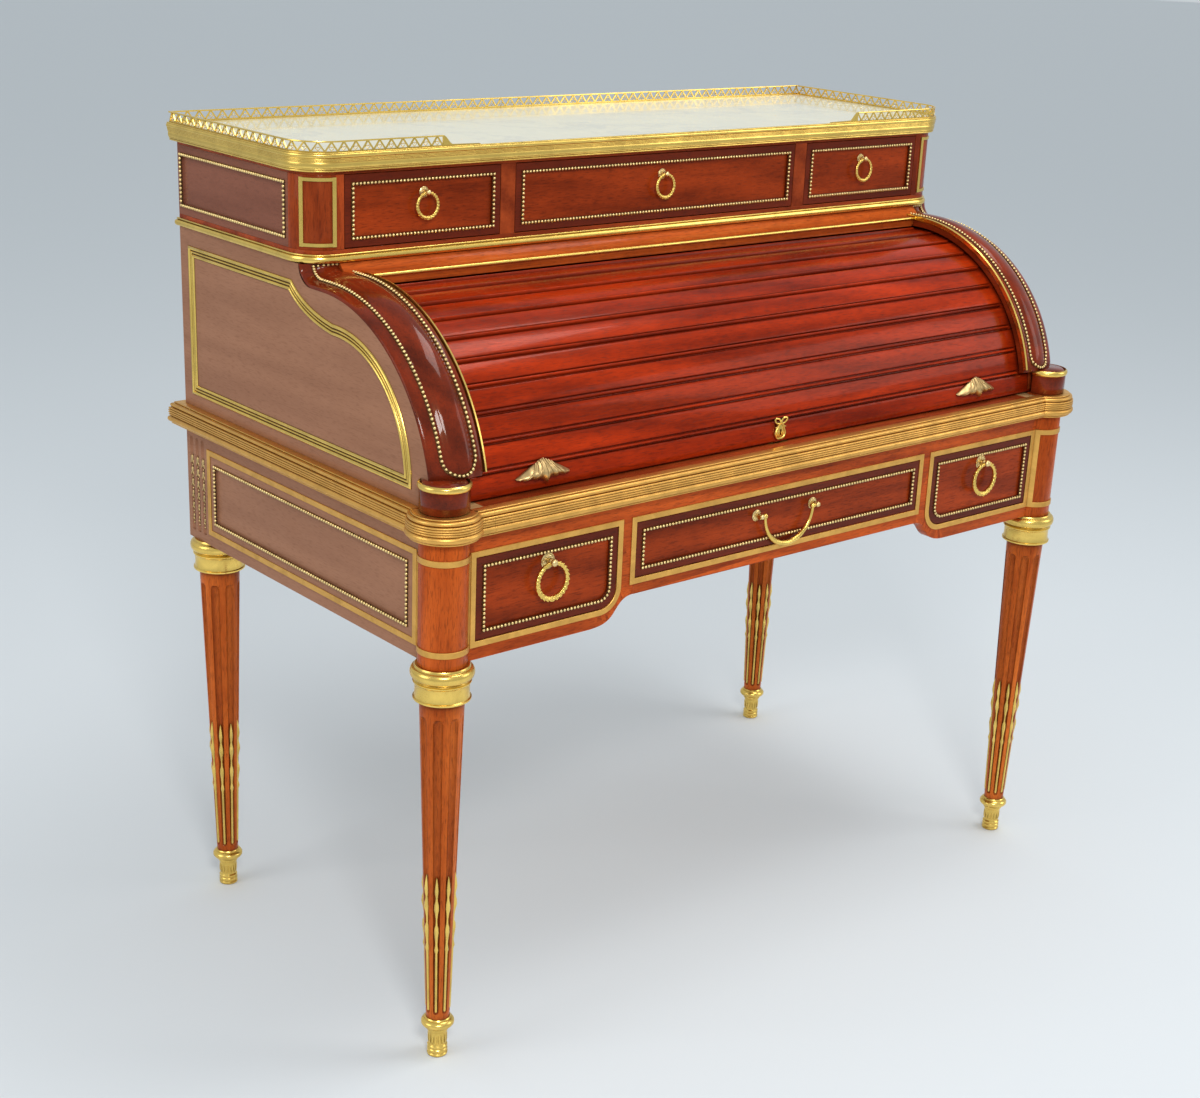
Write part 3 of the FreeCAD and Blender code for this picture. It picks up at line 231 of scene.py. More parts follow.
def outline(x0, x1, y0, y1, radii=(0, 0, 0, 0), steps=8):
    """Closed path round a rectangle, each corner rounded by its own radius, from low left."""
    corners = [(x0, y0, 180), (x1, y0, 270), (x1, y1, 0), (x0, y1, 90)]
    path = []
    for (x, y, start), radius in zip(corners, radii):
        if radius:
            cx = x + radius * (1 if x == x0 else -1)
            cy = y + radius * (1 if y == y0 else -1)
            path += arc(cx, cy, radius, start, 90, steps)
        else:
            path.append((x, y))
    return path


def outward(path, closed):
    """Mitred normals of a flat path, on the right of its direction."""
    normals = []
    for i, here in enumerate(path):
        sides = []
        if closed or i:
            sides.append((path[i - 1], here))
        if closed or i + 1 < len(path):
            sides.append((here, path[(i + 1) % len(path)]))
        sides = [Vector((b[1] - a[1], a[0] - b[0])).normalized() for a, b in sides]
        mean = sum(sides, Vector((0, 0))).normalized()
        normals.append(mean / max(mean.dot(sides[0]), 0.3))
    return normals


def run(work, path, section, space, closed=False, finish=0):
    """Carries a closed section of (outward, proud) points along a flat path."""
    rows = []
    for (a, b), n in zip(path, outward(path, closed)):
        rows.append([space(a + n.x * out, b + n.y * out, proud) for out, proud in section])
    work.skin(rows, around=True, along=closed, ends=not closed, finish=finish)


def turned(work, section, x, y, steps=48, start=0, sweep=360):
    """Turns (radius, height) points about an upright axis, angles in degrees."""
    whole = sweep >= 360
    rows = []
    for i in range(steps if whole else steps + 1):
        angle = math.radians(start + sweep * i / steps)
        cos, sin = math.cos(angle), math.sin(angle)
        rows.append([(x + r * cos, y + r * sin, z) for r, z in section])
    work.skin(rows, around=True, along=whole, ends=not whole)


def bulge(z0, z1, base, reach, steps=6):
    """Half-round member of a section, from z0 to z1, standing reach beyond base."""
    points = []
    for i in range(steps + 1):
        a = math.pi * i / steps
        points.append((base + reach * math.sin(a), (z0 + z1) / 2 - (z1 - z0) / 2 * math.cos(a)))
    return points


def ball(work, centre, size, segments=10, rings=6, turn=None, finish=0):
    """An egg or a ball; size is its three half lengths."""
    rows = []
    for i in range(rings + 1):
        t = math.pi * i / rings
        ring_points = []
        for j in range(segments):
            a = math.tau * j / segments
            ring_points.append((size[0] * math.sin(t) * math.cos(a), size[1] * math.sin(t) * math.sin(a),
                                size[2] * math.cos(t)))
        rows.append(ring_points)
    place = Matrix.Translation(centre) @ (turn.to_4x4() if turn else Matrix.Identity(4))
    points = [p for row in rows[1:-1] for p in row] + [rows[0][0], rows[-1][0]]
    count = rings - 1
    top, foot = count * segments, count * segments + 1
    faces = []
    for j in range(segments):
        k = (j + 1) % segments
        faces.append([top, j, k])
        faces.append([(count - 1) * segments + k, (count - 1) * segments + j, foot])
        for i in range(count - 1):
            here, below = i * segments, (i + 1) * segments
            faces.append([here + j, below + j, below + k, here + k])
    work.add(points, faces, finish, place)


def tube(work, line, radii, sides=10, closed=False):
    """A round bar along a line of points, its radius given at each point."""
    rows = []
    count = len(line)
    for i, here in enumerate(line):
        before = line[i - 1] if closed or i else here
        after = line[(i + 1) % count] if closed or i + 1 < count else here
        along = (Vector(after) - Vector(before)).normalized()
        across = along.cross(Vector((0, 1, 0)) if abs(along.y) < 0.9 else Vector((1, 0, 0))).normalized()
        up = across.cross(along)
        rows.append([Vector(here) + radii[i] * (across * math.cos(a) + up * math.sin(a))
                     for a in (math.tau * k / sides for k in range(sides))])
    work.skin(rows, around=True, along=closed, ends=not closed)


SHARP_TURN = math.radians(35)


def spaced(path, pitch):
    """Points round a closed path at an even pitch that fits each straight or curved stretch."""
    stretches = [[path[0]]]
    points = path + [path[0]]
    for i in range(1, len(points)):
        stretches[-1].append(points[i])
        if i + 1 < len(points):
            a = Vector(points[i]) - Vector(points[i - 1])
            b = Vector(points[i + 1]) - Vector(points[i])
            if a.angle(b, 0) > SHARP_TURN:
                stretches.append([points[i]])
    found = []
    for stretch in stretches:
        lengths = [(Vector(b) - Vector(a)).length for a, b in zip(stretch, stretch[1:])]
        total = sum(lengths)
        count = max(round(total / pitch), 1)
        for i in range(count):
            want = total * i / count
            for length, a, b in zip(lengths, stretch, stretch[1:]):
                if want <= length:
                    found.append(Vector(a).lerp(Vector(b), want / length if length else 0))
                    break
                want -= length
    return found


def pearls(work, path, space):
    """A closed string of brass pearls on a narrow toned fillet, the work's second finish."""
    trim = bpy.context.scene.desk_trim
    size = trim.pearl_size / 2
    edge = size * 0.95
    run(work, path, [(-edge, -0.6 * MM), (edge, -0.6 * MM), (edge, 0.35 * MM), (-edge, 0.35 * MM)],
        space, True, 1)
    for p in spaced(path, trim.pearl_pitch):
        ball(work, space(p.x, p.y, size * 0.62), (size, size, size), 10, 6)


def pearl_finishes():
    return [stuff("pearl gilding"), stuff("toned brass")]


# ------------------------------------------------------------------ node helpers
def wire(tree, kind, inputs=(), **settings):
    """Adds a node; each input is a value or another node's socket."""
    made = tree.nodes.new(kind)
    for key, value in settings.items():
        setattr(made, key, value)
    for key, value in dict(inputs).items():
        if isinstance(value, bpy.types.NodeSocket):
            tree.links.new(value, made.inputs[key])
        else:
            made.inputs[key].default_value = value
    return made


def maths(tree, operation, a, b=0.0, c=0.0):
    return wire(tree, "ShaderNodeMath", {0: a, 1: b, 2: c}, operation=operation).outputs[0]


def blend_colour(tree, factor, a, b, kind="MIX"):
    made = wire(tree, "ShaderNodeMix", {0: factor, 6: a, 7: b}, data_type="RGBA", blend_type=kind)
    return made.outputs[2]


def ramp(tree, value, stops):
    """A smooth ramp through (place, grey) or (place, colour) stops."""
    made = wire(tree, "ShaderNodeValToRGB", {0: value})
    elements = made.color_ramp.elements
    while len(elements) < len(stops):
        elements.new(0.5)
    for element, (place, colour) in zip(elements, stops):
        element.position = place
        element.color = (colour,) * 3 + (1,) if isinstance(colour, float) else (*colour[:3], 1)
    return made.outputs[0]


def group(name, inputs, outputs):
    """Starts a node group and gives its tree, its inputs and its output node."""
    tree = bpy.data.node_groups.new(name, "ShaderNodeTree")
    for label, kind, value in inputs:
        socket = tree.interface.new_socket(label, in_out="INPUT", socket_type="NodeSocket" + kind)
        socket.default_value = value
    for label, kind in outputs:
        tree.interface.new_socket(label, in_out="OUTPUT", socket_type="NodeSocket" + kind)
    return tree, tree.nodes.new("NodeGroupInput").outputs, tree.nodes.new("NodeGroupOutput")


def put(tree, output, label, socket):
    tree.links.new(socket, output.inputs[label])


def wood_grain_group():
    """Figure, pores and board tone of a polished wood, the grain running where Stretch is low."""
    tree, given, output = group(
        "wood grain",
        [("Stretch", "Vector", (1, 9, 9)), ("Figure Scale", "Float", 3.2), ("Pore Scale", "Float", 60.0),
         ("Board Change", "Float", 1.0)],
        [("Figure", "Float"), ("Pores", "Float"), ("Tone", "Float"), ("Height", "Float")],
    )
    where = wire(tree, "ShaderNodeTexCoord").outputs["Object"]
    board = wire(tree, "ShaderNodeNewGeometry").outputs["Random Per Island"]
    board = maths(tree, "MULTIPLY", board, given["Board Change"])
    shift = wire(tree, "ShaderNodeCombineXYZ", {0: board, 1: board, 2: board}).outputs[0]
    shift = wire(tree, "ShaderNodeVectorMath", {0: shift, 1: (7.3, 5.1, 3.7)},
                 operation="MULTIPLY").outputs[0]
    place = wire(tree, "ShaderNodeVectorMath", {0: where, 1: given["Stretch"], 2: shift},
                 operation="MULTIPLY_ADD").outputs[0]
    broad = wire(tree, "ShaderNodeTexNoise", {"Vector": place, "Scale": given["Figure Scale"], "Detail": 5.0,
                                              "Roughness": 0.55, "Distortion": 0.6}).outputs["Fac"]
    fine = wire(tree, "ShaderNodeTexNoise", {"Vector": place, "Scale": maths(tree, "MULTIPLY",
                given["Figure Scale"], 9.0), "Detail": 6.0, "Roughness": 0.7}).outputs["Fac"]
    rings = wire(tree, "ShaderNodeTexWave", {"Vector": place, "Scale": 1.1, "Distortion": 7.0, "Detail": 3.0,
                                             "Detail Scale": 1.4}, bands_direction="DIAGONAL").outputs["Fac"]
    figure = maths(tree, "ADD", maths(tree, "MULTIPLY", broad, 0.55), maths(tree, "MULTIPLY", fine, 0.3))
    figure = maths(tree, "MULTIPLY_ADD", rings, 0.16, figure)
    ribbon = wire(tree, "ShaderNodeTexNoise", {"Vector": where, "Scale": 38.0, "Detail": 2.0}).outputs["Fac"]
    figure = maths(tree, "MULTIPLY_ADD", ribbon, 0.12, maths(tree, "SUBTRACT", figure, 0.06))
    streak = wire(tree, "ShaderNodeTexNoise", {"Vector": place, "Scale": given["Pore Scale"], "Detail": 2.0,
                                               "Roughness": 0.6}).outputs["Fac"]
    pore = ramp(tree, streak, [(0.52, 0.0), (0.66, 1.0)])
    put(tree, output, "Figure", figure)
    put(tree, output, "Pores", pore)
    put(tree, output, "Tone", board)
    put(tree, output, "Height", maths(tree, "MULTIPLY", pore, -1.0))
    return tree


def handling_group():
    """Faint smears and fine scratches that years of dusting leave on polish."""
    tree, given, output = group(
        "handling", [("Smear Scale", "Float", 9.0), ("Scratch Scale", "Float", 160.0)],
        [("Smear", "Float"), ("Height", "Float")],
    )
    where = wire(tree, "ShaderNodeTexCoord").outputs["Object"]
    smear = wire(tree, "ShaderNodeTexNoise", {"Vector": where, "Scale": given["Smear Scale"], "Detail": 4.0,
                                              "Roughness": 0.6, "Distortion": 0.8}).outputs["Fac"]
    scratch = wire(tree, "ShaderNodeTexNoise", {"Vector": where, "Scale": given["Scratch Scale"],
                                                "Detail": 2.0}).outputs["Fac"]
    put(tree, output, "Smear", ramp(tree, smear, [(0.35, 0.0), (0.7, 1.0)]))
    put(tree, output, "Height", scratch)
    return tree


def hollow_grime_and_shade_group():
    """Ambient-occlusion mask of surfaces sunk into hollows and corners: painted shade in the wood's flutes,
    quirks and corners, and grime in the brass's hollows.
    """
    tree, given, output = group("hollow grime and shade", [("Reach", "Float", 0.004), ("Strength", "Float", 1.0)],
                                [("Mask", "Float")])
    hollow = wire(tree, "ShaderNodeAmbientOcclusion", {"Distance": given["Reach"]}, samples=4).outputs["AO"]
    mask = maths(tree, "MULTIPLY", maths(tree, "SUBTRACT", 1.0, hollow), given["Strength"])
    put(tree, output, "Mask", wire(tree, "ShaderNodeClamp", {0: mask}).outputs[0])
    return tree


def rubbed_edge_group():
    """Edges that handling has rubbed paler."""
    tree, given, output = group("rubbed edges", [("Width", "Float", 0.0012), ("Strength", "Float", 1.0)],
                                [("Mask", "Float")])
    rounded = wire(tree, "ShaderNodeBevel", {"Radius": given["Width"]}, samples=2).outputs[0]
    flat = wire(tree, "ShaderNodeNewGeometry").outputs["Normal"]
    same = wire(tree, "ShaderNodeVectorMath", {0: rounded, 1: flat},
                operation="DOT_PRODUCT").outputs["Value"]
    mask = maths(tree, "MULTIPLY", maths(tree, "SUBTRACT", 1.0, same), given["Strength"])
    put(tree, output, "Mask", wire(tree, "ShaderNodeClamp", {0: mask}).outputs[0])
    return tree


GROUPS = {}


def use_group(tree, name, inputs=()):
    """Places a shared effect in a material with its own values."""
    if name not in GROUPS:
        GROUPS[name] = {"wood grain": wood_grain_group, "handling": handling_group,
                        "hollow grime and shade": hollow_grime_and_shade_group, "rubbed edges": rubbed_edge_group}[name]()
    made = tree.nodes.new("ShaderNodeGroup")
    made.node_tree = GROUPS[name]
    for key, value in dict(inputs).items():
        made.inputs[key].default_value = value
    return made.outputs


def new_material(name, **shader_values):
    """A material with only its main shader and output."""
    material = bpy.data.materials.new(name)
    material.use_nodes = True
    tree = material.node_tree
    tree.nodes.clear()
    shader = tree.nodes.new("ShaderNodeBsdfPrincipled")
    output = tree.nodes.new("ShaderNodeOutputMaterial")
    tree.links.new(shader.outputs[0], output.inputs[0])
    for key, value in shader_values.items():
        shader.inputs[key.replace("_", " ")].default_value = value
    return material, tree, shader


def feed(tree, shader, colour, roughness, height=None, depth=0.1 * MM, strength=0.3):
    tree.links.new(colour, shader.inputs["Base Color"])
    tree.links.new(roughness, shader.inputs["Roughness"])
    if height is not None:
        bump = wire(tree, "ShaderNodeBump", {"Strength": strength, "Distance": depth, "Height": height})
        tree.links.new(bump.outputs[0], shader.inputs["Normal"])


# ------------------------------------------------------------------ materials
GRAIN = {"across": (0.9, 8.0, 8.0), "deep": (8.0, 0.9, 8.0), "upright": (8.0, 8.0, 0.9)}


def polished_wood(name, grain, light, dark, pore, gloss=0.24, coat=0.1, figure=(0.32, 0.72), crevice_shade=0.7,
                  side=None, boards=1.0, pores=0.4, reach=6 * MM):
    """French polished wood: figure, pores, board to board tone and a thin clear coat, with painted shade
    darkened into its hollows and, where side colours are given, a painted reflection of the bright room on
    its outer faces.
    """
    material, tree, shader = new_material(name, Coat_Weight=coat, Coat_Roughness=0.04, Coat_IOR=1.45,
                                          IOR=1.45)
    shader.inputs["Specular IOR Level"].default_value = 0.12
    shader.inputs["Specular Tint"].default_value = (1.0, 0.5, 0.25, 1)
    grain_out = use_group(tree, "wood grain", {"Stretch": GRAIN[grain], "Board Change": boards,
                                               "Pore Scale": 85.0})
    worn = use_group(tree, "handling")
    hollow_grime_and_shade = use_group(tree, "hollow grime and shade", {"Reach": reach, "Strength": crevice_shade})
    rubbed = use_group(tree, "rubbed edges", {"Strength": 1.6})
    shade = ramp(tree, grain_out["Figure"], [(figure[0], dark), (figure[1], light)])
    # painted reflection: the outer side and back faces get paler, greyer colours that stand in for the
    # bright room reflected at a grazing angle
    if side:
        side_reflection_shade = ramp(tree, grain_out["Figure"], [(figure[0], side[1]), (figure[1], side[0])])
        where = wire(tree, "ShaderNodeTexCoord").outputs["Object"]
        across = wire(tree, "ShaderNodeSeparateXYZ", {0: where}).outputs[0]
        outside = maths(tree, "GREATER_THAN", maths(tree, "ABSOLUTE", across), HALF - 19 * MM)
        inward = wire(tree, "ShaderNodeSeparateXYZ", {0: where}).outputs[1]
        behind = maths(tree, "GREATER_THAN", inward, high("upper_walls").y - 15 * MM)
        outside = maths(tree, "MAXIMUM", outside, behind)
        shade = blend_colour(tree, outside, shade, side_reflection_shade)
    tone = maths(tree, "MULTIPLY_ADD", grain_out["Tone"], 0.24, 0.88)
    tone = wire(tree, "ShaderNodeCombineColor", {0: tone, 1: tone, 2: tone}).outputs[0]
    shade = blend_colour(tree, 1.0, shade, tone, "MULTIPLY")
    shade = blend_colour(tree, maths(tree, "MULTIPLY", grain_out["Pores"], pores), shade, (*pore, 1))
    shade = blend_colour(tree, maths(tree, "MULTIPLY", rubbed["Mask"], 0.35), shade, (*light, 1))
    # painted shade: ambient occlusion darkens the wood toward its pore colour in hollows, flutes and corners
    shade = blend_colour(tree, maths(tree, "MULTIPLY", hollow_grime_and_shade["Mask"], 0.6), shade, (*pore, 1))
    rough = maths(tree, "MULTIPLY_ADD", worn["Smear"], 0.08, gloss)
    rough = maths(tree, "MULTIPLY_ADD", grain_out["Pores"], 0.12, rough)
    feed(tree, shader, shade, rough, grain_out["Height"], 0.05 * MM, 0.25)
    return material


def gilt_brass(name, colour, roughness, dirt, grime):
    """Gilt and lacquered brass: mottled tone, bright rubbed edges, dark in the hollows."""
    material, tree, shader = new_material(name, Metallic=1.0)
    worn = use_group(tree, "handling", {"Smear Scale": 30.0, "Scratch Scale": 420.0})
    hollow_grime_and_shade = use_group(tree, "hollow grime and shade", {"Reach": 0.003, "Strength": dirt})
    rubbed = use_group(tree, "rubbed edges", {"Width": 0.0008, "Strength": 1.4})
    deep = tuple(c * 0.74 for c in colour)
    bright = tuple(min(c * 1.18, 1.0) for c in colour)
    shade = blend_colour(tree, worn["Smear"], (*colour, 1), (*deep, 1))
    shade = blend_colour(tree, rubbed["Mask"], shade, (*bright, 1))
    shade = blend_colour(tree, hollow_grime_and_shade["Mask"], shade, (*grime, 1))
    rough = maths(tree, "MULTIPLY_ADD", worn["Smear"], 0.12, roughness)
    rough = maths(tree, "MULTIPLY_ADD", hollow_grime_and_shade["Mask"], 0.25, rough)
    feed(tree, shader, shade, rough, worn["Height"], 0.03 * MM, 0.2)
    return material


def marble():
    """Cream white statuary marble with faint grey veins, polished."""
    finish = bpy.context.scene.desk_finishes
    material, tree, shader = new_material("white marble", Coat_Weight=0.4, Coat_Roughness=0.04,
                                          Subsurface_Weight=0.06)
    shader.inputs["Subsurface Radius"].default_value = (0.012, 0.010, 0.008)
    where = wire(tree, "ShaderNodeTexCoord").outputs["Object"]
    warp = wire(tree, "ShaderNodeTexNoise", {"Vector": where, "Scale": 3.0, "Detail": 5.0}).outputs["Color"]
    bent = wire(tree, "ShaderNodeVectorMath", {0: warp, 1: (0.5, 0.5, 0.5), 2: where},
                operation="MULTIPLY_ADD").outputs[0]
    vein = wire(tree, "ShaderNodeTexNoise", {"Vector": bent, "Scale": 4.5, "Detail": 8.0,
                                             "Roughness": 0.62}).outputs["Fac"]
    line = ramp(tree, maths(tree, "ABSOLUTE", maths(tree, "SUBTRACT", vein, 0.5)),
                [(0.0, 1.0), (0.035, 0.0)])
    cloud = wire(tree, "ShaderNodeTexNoise", {"Vector": where, "Scale": 7.0, "Detail": 4.0}).outputs["Fac"]
    white = tuple(finish.marble)
    shade = blend_colour(tree, cloud, (*white, 1), (*(c * 0.9 for c in white), 1))
    shade = blend_colour(tree, maths(tree, "MULTIPLY", line, 0.3), shade, (0.42, 0.42, 0.40, 1))
    worn = use_group(tree, "handling", {"Smear Scale": 12.0})
    feed(tree, shader, shade, maths(tree, "MULTIPLY_ADD", worn["Smear"], 0.1, 0.12), worn["Height"],
         0.02 * MM, 0.1)
    return material


def tooled_leather():
    """Green hide with a fine grain and a double gilt line tooled round its edge."""
    finish = bpy.context.scene.desk_finishes
    edge_low, edge_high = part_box("slide_leather")
    material, tree, shader = new_material("tooled leather", Coat_Weight=0.12, Coat_Roughness=0.3)
    shader.inputs["Specular IOR Level"].default_value = 0.4
    where = wire(tree, "ShaderNodeTexCoord").outputs["Object"]
    part = wire(tree, "ShaderNodeSeparateXYZ", {0: where}).outputs
    centre_y = (edge_low.y + edge_high.y) / 2
    in_x = maths(tree, "SUBTRACT", edge_high.x, maths(tree, "ABSOLUTE", part[0]))
    in_y = maths(tree, "SUBTRACT", edge_high.y - centre_y,
                 maths(tree, "ABSOLUTE", maths(tree, "SUBTRACT", part[1], centre_y)))
    inset = maths(tree, "MINIMUM", in_x, in_y)
    lines = 0.0
    for place, width in ((10 * MM, 0.9 * MM), (13 * MM, 0.35 * MM), (22 * MM, 0.35 * MM)):
        away = maths(tree, "ABSOLUTE", maths(tree, "SUBTRACT", inset, place))
        near = maths(tree, "LESS_THAN", away, width)
        lines = maths(tree, "MAXIMUM", near, lines)
    pebble = wire(tree, "ShaderNodeTexVoronoi", {"Vector": where, "Scale": 900.0}).outputs["Distance"]
    cloud = wire(tree, "ShaderNodeTexNoise", {"Vector": where, "Scale": 14.0, "Detail": 5.0}).outputs["Fac"]
    hide = tuple(finish.leather)
    shade = blend_colour(tree, cloud, (*hide, 1), (*(c * 0.55 for c in hide), 1))
    shade = blend_colour(tree, lines, shade, (0.78, 0.56, 0.2, 1))
    tree.links.new(maths(tree, "MULTIPLY", lines, 0.9), shader.inputs["Metallic"])
    worn = use_group(tree, "handling", {"Smear Scale": 16.0})
    rough = maths(tree, "MULTIPLY_ADD", worn["Smear"], 0.15, 0.42)
    feed(tree, shader, shade, rough, pebble, 0.15 * MM, 0.5)
    return material


def linen():
    """Coarse canvas glued behind the slats."""
    material, tree, shader = new_material("linen canvas", Sheen_Weight=0.3, Sheen_Roughness=0.5)
    where = wire(tree, "ShaderNodeTexCoord").outputs["Object"]
    part = wire(tree, "ShaderNodeSeparateXYZ", {0: where}).outputs
    up = maths(tree, "ARCTAN2", maths(tree, "SUBTRACT", part[2], ROLL.z),
               maths(tree, "SUBTRACT", part[1], ROLL.y))
    warp = maths(tree, "SINE", maths(tree, "MULTIPLY", part[0], 5200.0))
    weft = maths(tree, "SINE", maths(tree, "MULTIPLY", up, 1150.0))
    weave = maths(tree, "MULTIPLY_ADD", maths(tree, "MULTIPLY", warp, weft), 0.5, 0.5)
    cloud = wire(tree, "ShaderNodeTexNoise", {"Vector": where, "Scale": 20.0, "Detail": 5.0}).outputs["Fac"]
    shade = ramp(tree, maths(tree, "MULTIPLY_ADD", weave, 0.3, maths(tree, "MULTIPLY", cloud, 0.7)),
                 [(0.2, (0.20, 0.15, 0.09)), (0.8, (0.46, 0.38, 0.26))])
    feed(tree, shader, shade, maths(tree, "MULTIPLY_ADD", cloud, 0.1, 0.8), weave, 0.3 * MM, 0.6)
    return material


def bright_steel():
    material, tree, shader = new_material("steel", Metallic=1.0)
    worn = use_group(tree, "handling", {"Smear Scale": 60.0, "Scratch Scale": 600.0})
    shade = blend_colour(tree, worn["Smear"], (0.56, 0.55, 0.53, 1), (0.36, 0.34, 0.32, 1))
    feed(tree, shader, shade, maths(tree, "MULTIPLY_ADD", worn["Smear"], 0.2, 0.25), worn["Height"],
         0.02 * MM, 0.2)
    return material


STORE = {}


def tint(colour, red, green, blue):
    return (colour[0] * red, colour[1] * green, colour[2] * blue)


def stuff(name):
    """The named material, made the first time it is asked for."""
    if name not in STORE:
        finish = bpy.context.scene.desk_finishes
        light, dark, pore = tuple(finish.mahogany), tuple(finish.mahogany_dark), (0.016, 0.003, 0.002)
        plum, plum_dark = tint(light, 0.34, 0.26, 0.35), tint(dark, 0.6, 0.6, 0.7)
        field, field_dark = tint(light, 0.95, 0.72, 0.5), tint(dark, 0.95, 0.9, 0.6)
        fiery, fiery_dark = tint(light, 1.0, 0.42, 0.2), tint(dark, 0.95, 0.5, 0.3)
        amber, amber_dark = tint(light, 1.3, 1.5, 1.0), tint(dark, 1.9, 2.3, 1.4)
        # side reflection colours: the sides' mahogany made paler and greyer to paint in the bright room's
        # reflection
        brown = tuple(finish.side_reflection_colour)
        brown_dark = tint(brown, 0.72, 0.68, 0.66)
        gold = tuple(finish.gilding)
        mat_gold = tint(gold, 0.9, 0.72, 0.72)
        oak, oak_dark, oak_pore = (0.52, 0.30, 0.13), (0.33, 0.17, 0.065), (0.12, 0.06, 0.02)
        grime = (0.17, 0.10, 0.025)
        recipes = {
            "mahogany across": lambda: polished_wood(name, "across", light, dark, pore),
            "mahogany upright": lambda: polished_wood(name, "upright", light, dark, pore),
            "mahogany deep": lambda: polished_wood(name, "deep", light, dark, pore),
            "plum across": lambda: polished_wood(name, "across", plum, plum_dark, pore, 0.2, 0.2),
            "field across": lambda: polished_wood(name, "across", field, field_dark, pore, 0.26),
            "amber upright": lambda: polished_wood(name, "upright", amber, amber_dark, pore),
            "amber across": lambda: polished_wood(name, "across", amber, amber_dark, pore),
            # painted shade: a strong, wide occlusion darkening that makes the flutes read as shaded grooves
            "fluted leg wood": lambda: polished_wood(name, "upright", tint(amber, 1.3, 1.6, 1.7),
                                                     tint(amber_dark, 1.3, 1.5, 1.5), pore, crevice_shade=3.4,
                                                     reach=18 * MM),
            "rail wood": lambda: polished_wood(name, "across", tint(light, 1.45, 1.5, 1.0),
                                               tint(dark, 1.7, 1.9, 1.2), pore),
            "cheek wood": lambda: polished_wood(name, "deep", light, dark, pore, boards=0.0),
            # painted shade: stronger occlusion darkening in the slats' quirks beside the astragals
            "slat wood": lambda: polished_wood(name, "across", fiery, fiery_dark, pore, 0.16, crevice_shade=1.8),
            "scroll wood": lambda: polished_wood(name, "deep", tint(light, 0.55, 0.36, 0.35),
                                                 tint(dark, 0.6, 0.6, 0.6), pore, 0.14, 0.35),
            # painted reflection on the outer faces of the upper walls, through the side colours
            "upper wall wood": lambda: polished_wood(name, "deep", light, dark, pore, boards=0.0, pores=0.2,
                                                     side=(tint(brown, 0.68, 0.52, 0.55),
                                                           tint(brown_dark, 0.68, 0.52, 0.55))),
            # painted reflection: the sides, aprons and back in the paler, greyer side colours
            "side reflection deep": lambda: polished_wood(name, "deep", brown, brown_dark, pore, 0.4, 0.15,
                                                (0.25, 0.8), boards=0.0, pores=0.16),
            "oak across": lambda: polished_wood(name, "across", oak, oak_dark, oak_pore, 0.5, 0.05),
            "oak deep": lambda: polished_wood(name, "deep", oak, oak_dark, oak_pore, 0.5, 0.05),
            "bright gilding": lambda: gilt_brass(name, gold, 0.2, 0.8, grime),
            "satin gilding": lambda: gilt_brass(name, mat_gold, 0.36, 0.7, grime),
            "pearl gilding": lambda: gilt_brass(name, tint(gold, 1.0, 1.1, 2.0), 0.3, 0.9,
                                                (0.12, 0.06, 0.02)),
            "antique gilding": lambda: gilt_brass(name, tint(gold, 0.72, 0.72, 1.3), 0.34, 1.6,
                                                  (0.05, 0.03, 0.012)),
            "toned brass": lambda: gilt_brass(name, (0.16, 0.085, 0.03), 0.4, 1.0, (0.03, 0.012, 0.006)),
            "white marble": marble,
            "tooled leather": tooled_leather,
            "linen canvas": linen,
            "steel": bright_steel,
        }
        STORE[name] = recipes[name]()
    return STORE[name]


def dress(node, name, soften=0.5 * MM):
    """Gives a frame part its finish and soft edges, and leaves its shape alone."""
    part = frame["nodes"][node]
    part.data.materials.clear()
    part.data.materials.append(stuff(name))
    if soften:
        weld = part.modifiers.new("weld", "WELD")
        weld.merge_threshold = 0.005 * MM
        soften_edges(part, soften)
        part.modifiers["soft edges"].use_clamp_overlap = True


# ------------------------------------------------------------------ case boards
BOARDS = {
    "front_rails": "rail wood", "frieze_boards": "side reflection deep", "corner_columns": "amber upright",
    "back_posts": "side reflection deep", "side_panels": "side reflection deep", "back_panel": "side reflection deep",
    "cavetto_rail": "amber across", "upper_boards": "mahogany across", "upper_walls": "upper wall wood",
    "upper_corner_posts": "mahogany upright", "writing_slide": "mahogany across",
    "pigeonhole_case": "mahogany across", "drawer_runners": "oak deep", "deck": "oak across",
    "track_cheeks": "cheek wood", "marble_top": "white marble", "slide_leather": "tooled leather",
    "lock_bolt": "steel", "tambour_canvas": "linen canvas",
}
UNSOFTENED = ("tambour_canvas", "slide_leather", "side_panels", "frieze_boards", "track_cheeks")


def finish_boards():
    for node, name in BOARDS.items():
        dress(node, name, 0 if node in UNSOFTENED else 0.5 * MM)


# ------------------------------------------------------------------ legs
FLUTES = 8
FLUTE_COLUMNS = (0.0, 0.1, 0.2, 0.235, 0.32, 0.41, 0.5, 0.59, 0.68, 0.765, 0.8, 0.9)
SABOT_TOP = 58 * MM
COLLAR_BOTTOM = FRIEZE_BOTTOM - 46 * MM
LEG_FOOT_RADIUS = 15.5 * MM
LEG_TOP_RADIUS = 28.5 * MM
FLUTE_DEPTH = 4.4 * MM


def leg_radius(z):
    share = (z - SABOT_TOP) / (COLLAR_BOTTOM - SABOT_TOP)
    return LEG_FOOT_RADIUS + (LEG_TOP_RADIUS - LEG_FOOT_RADIUS) * share


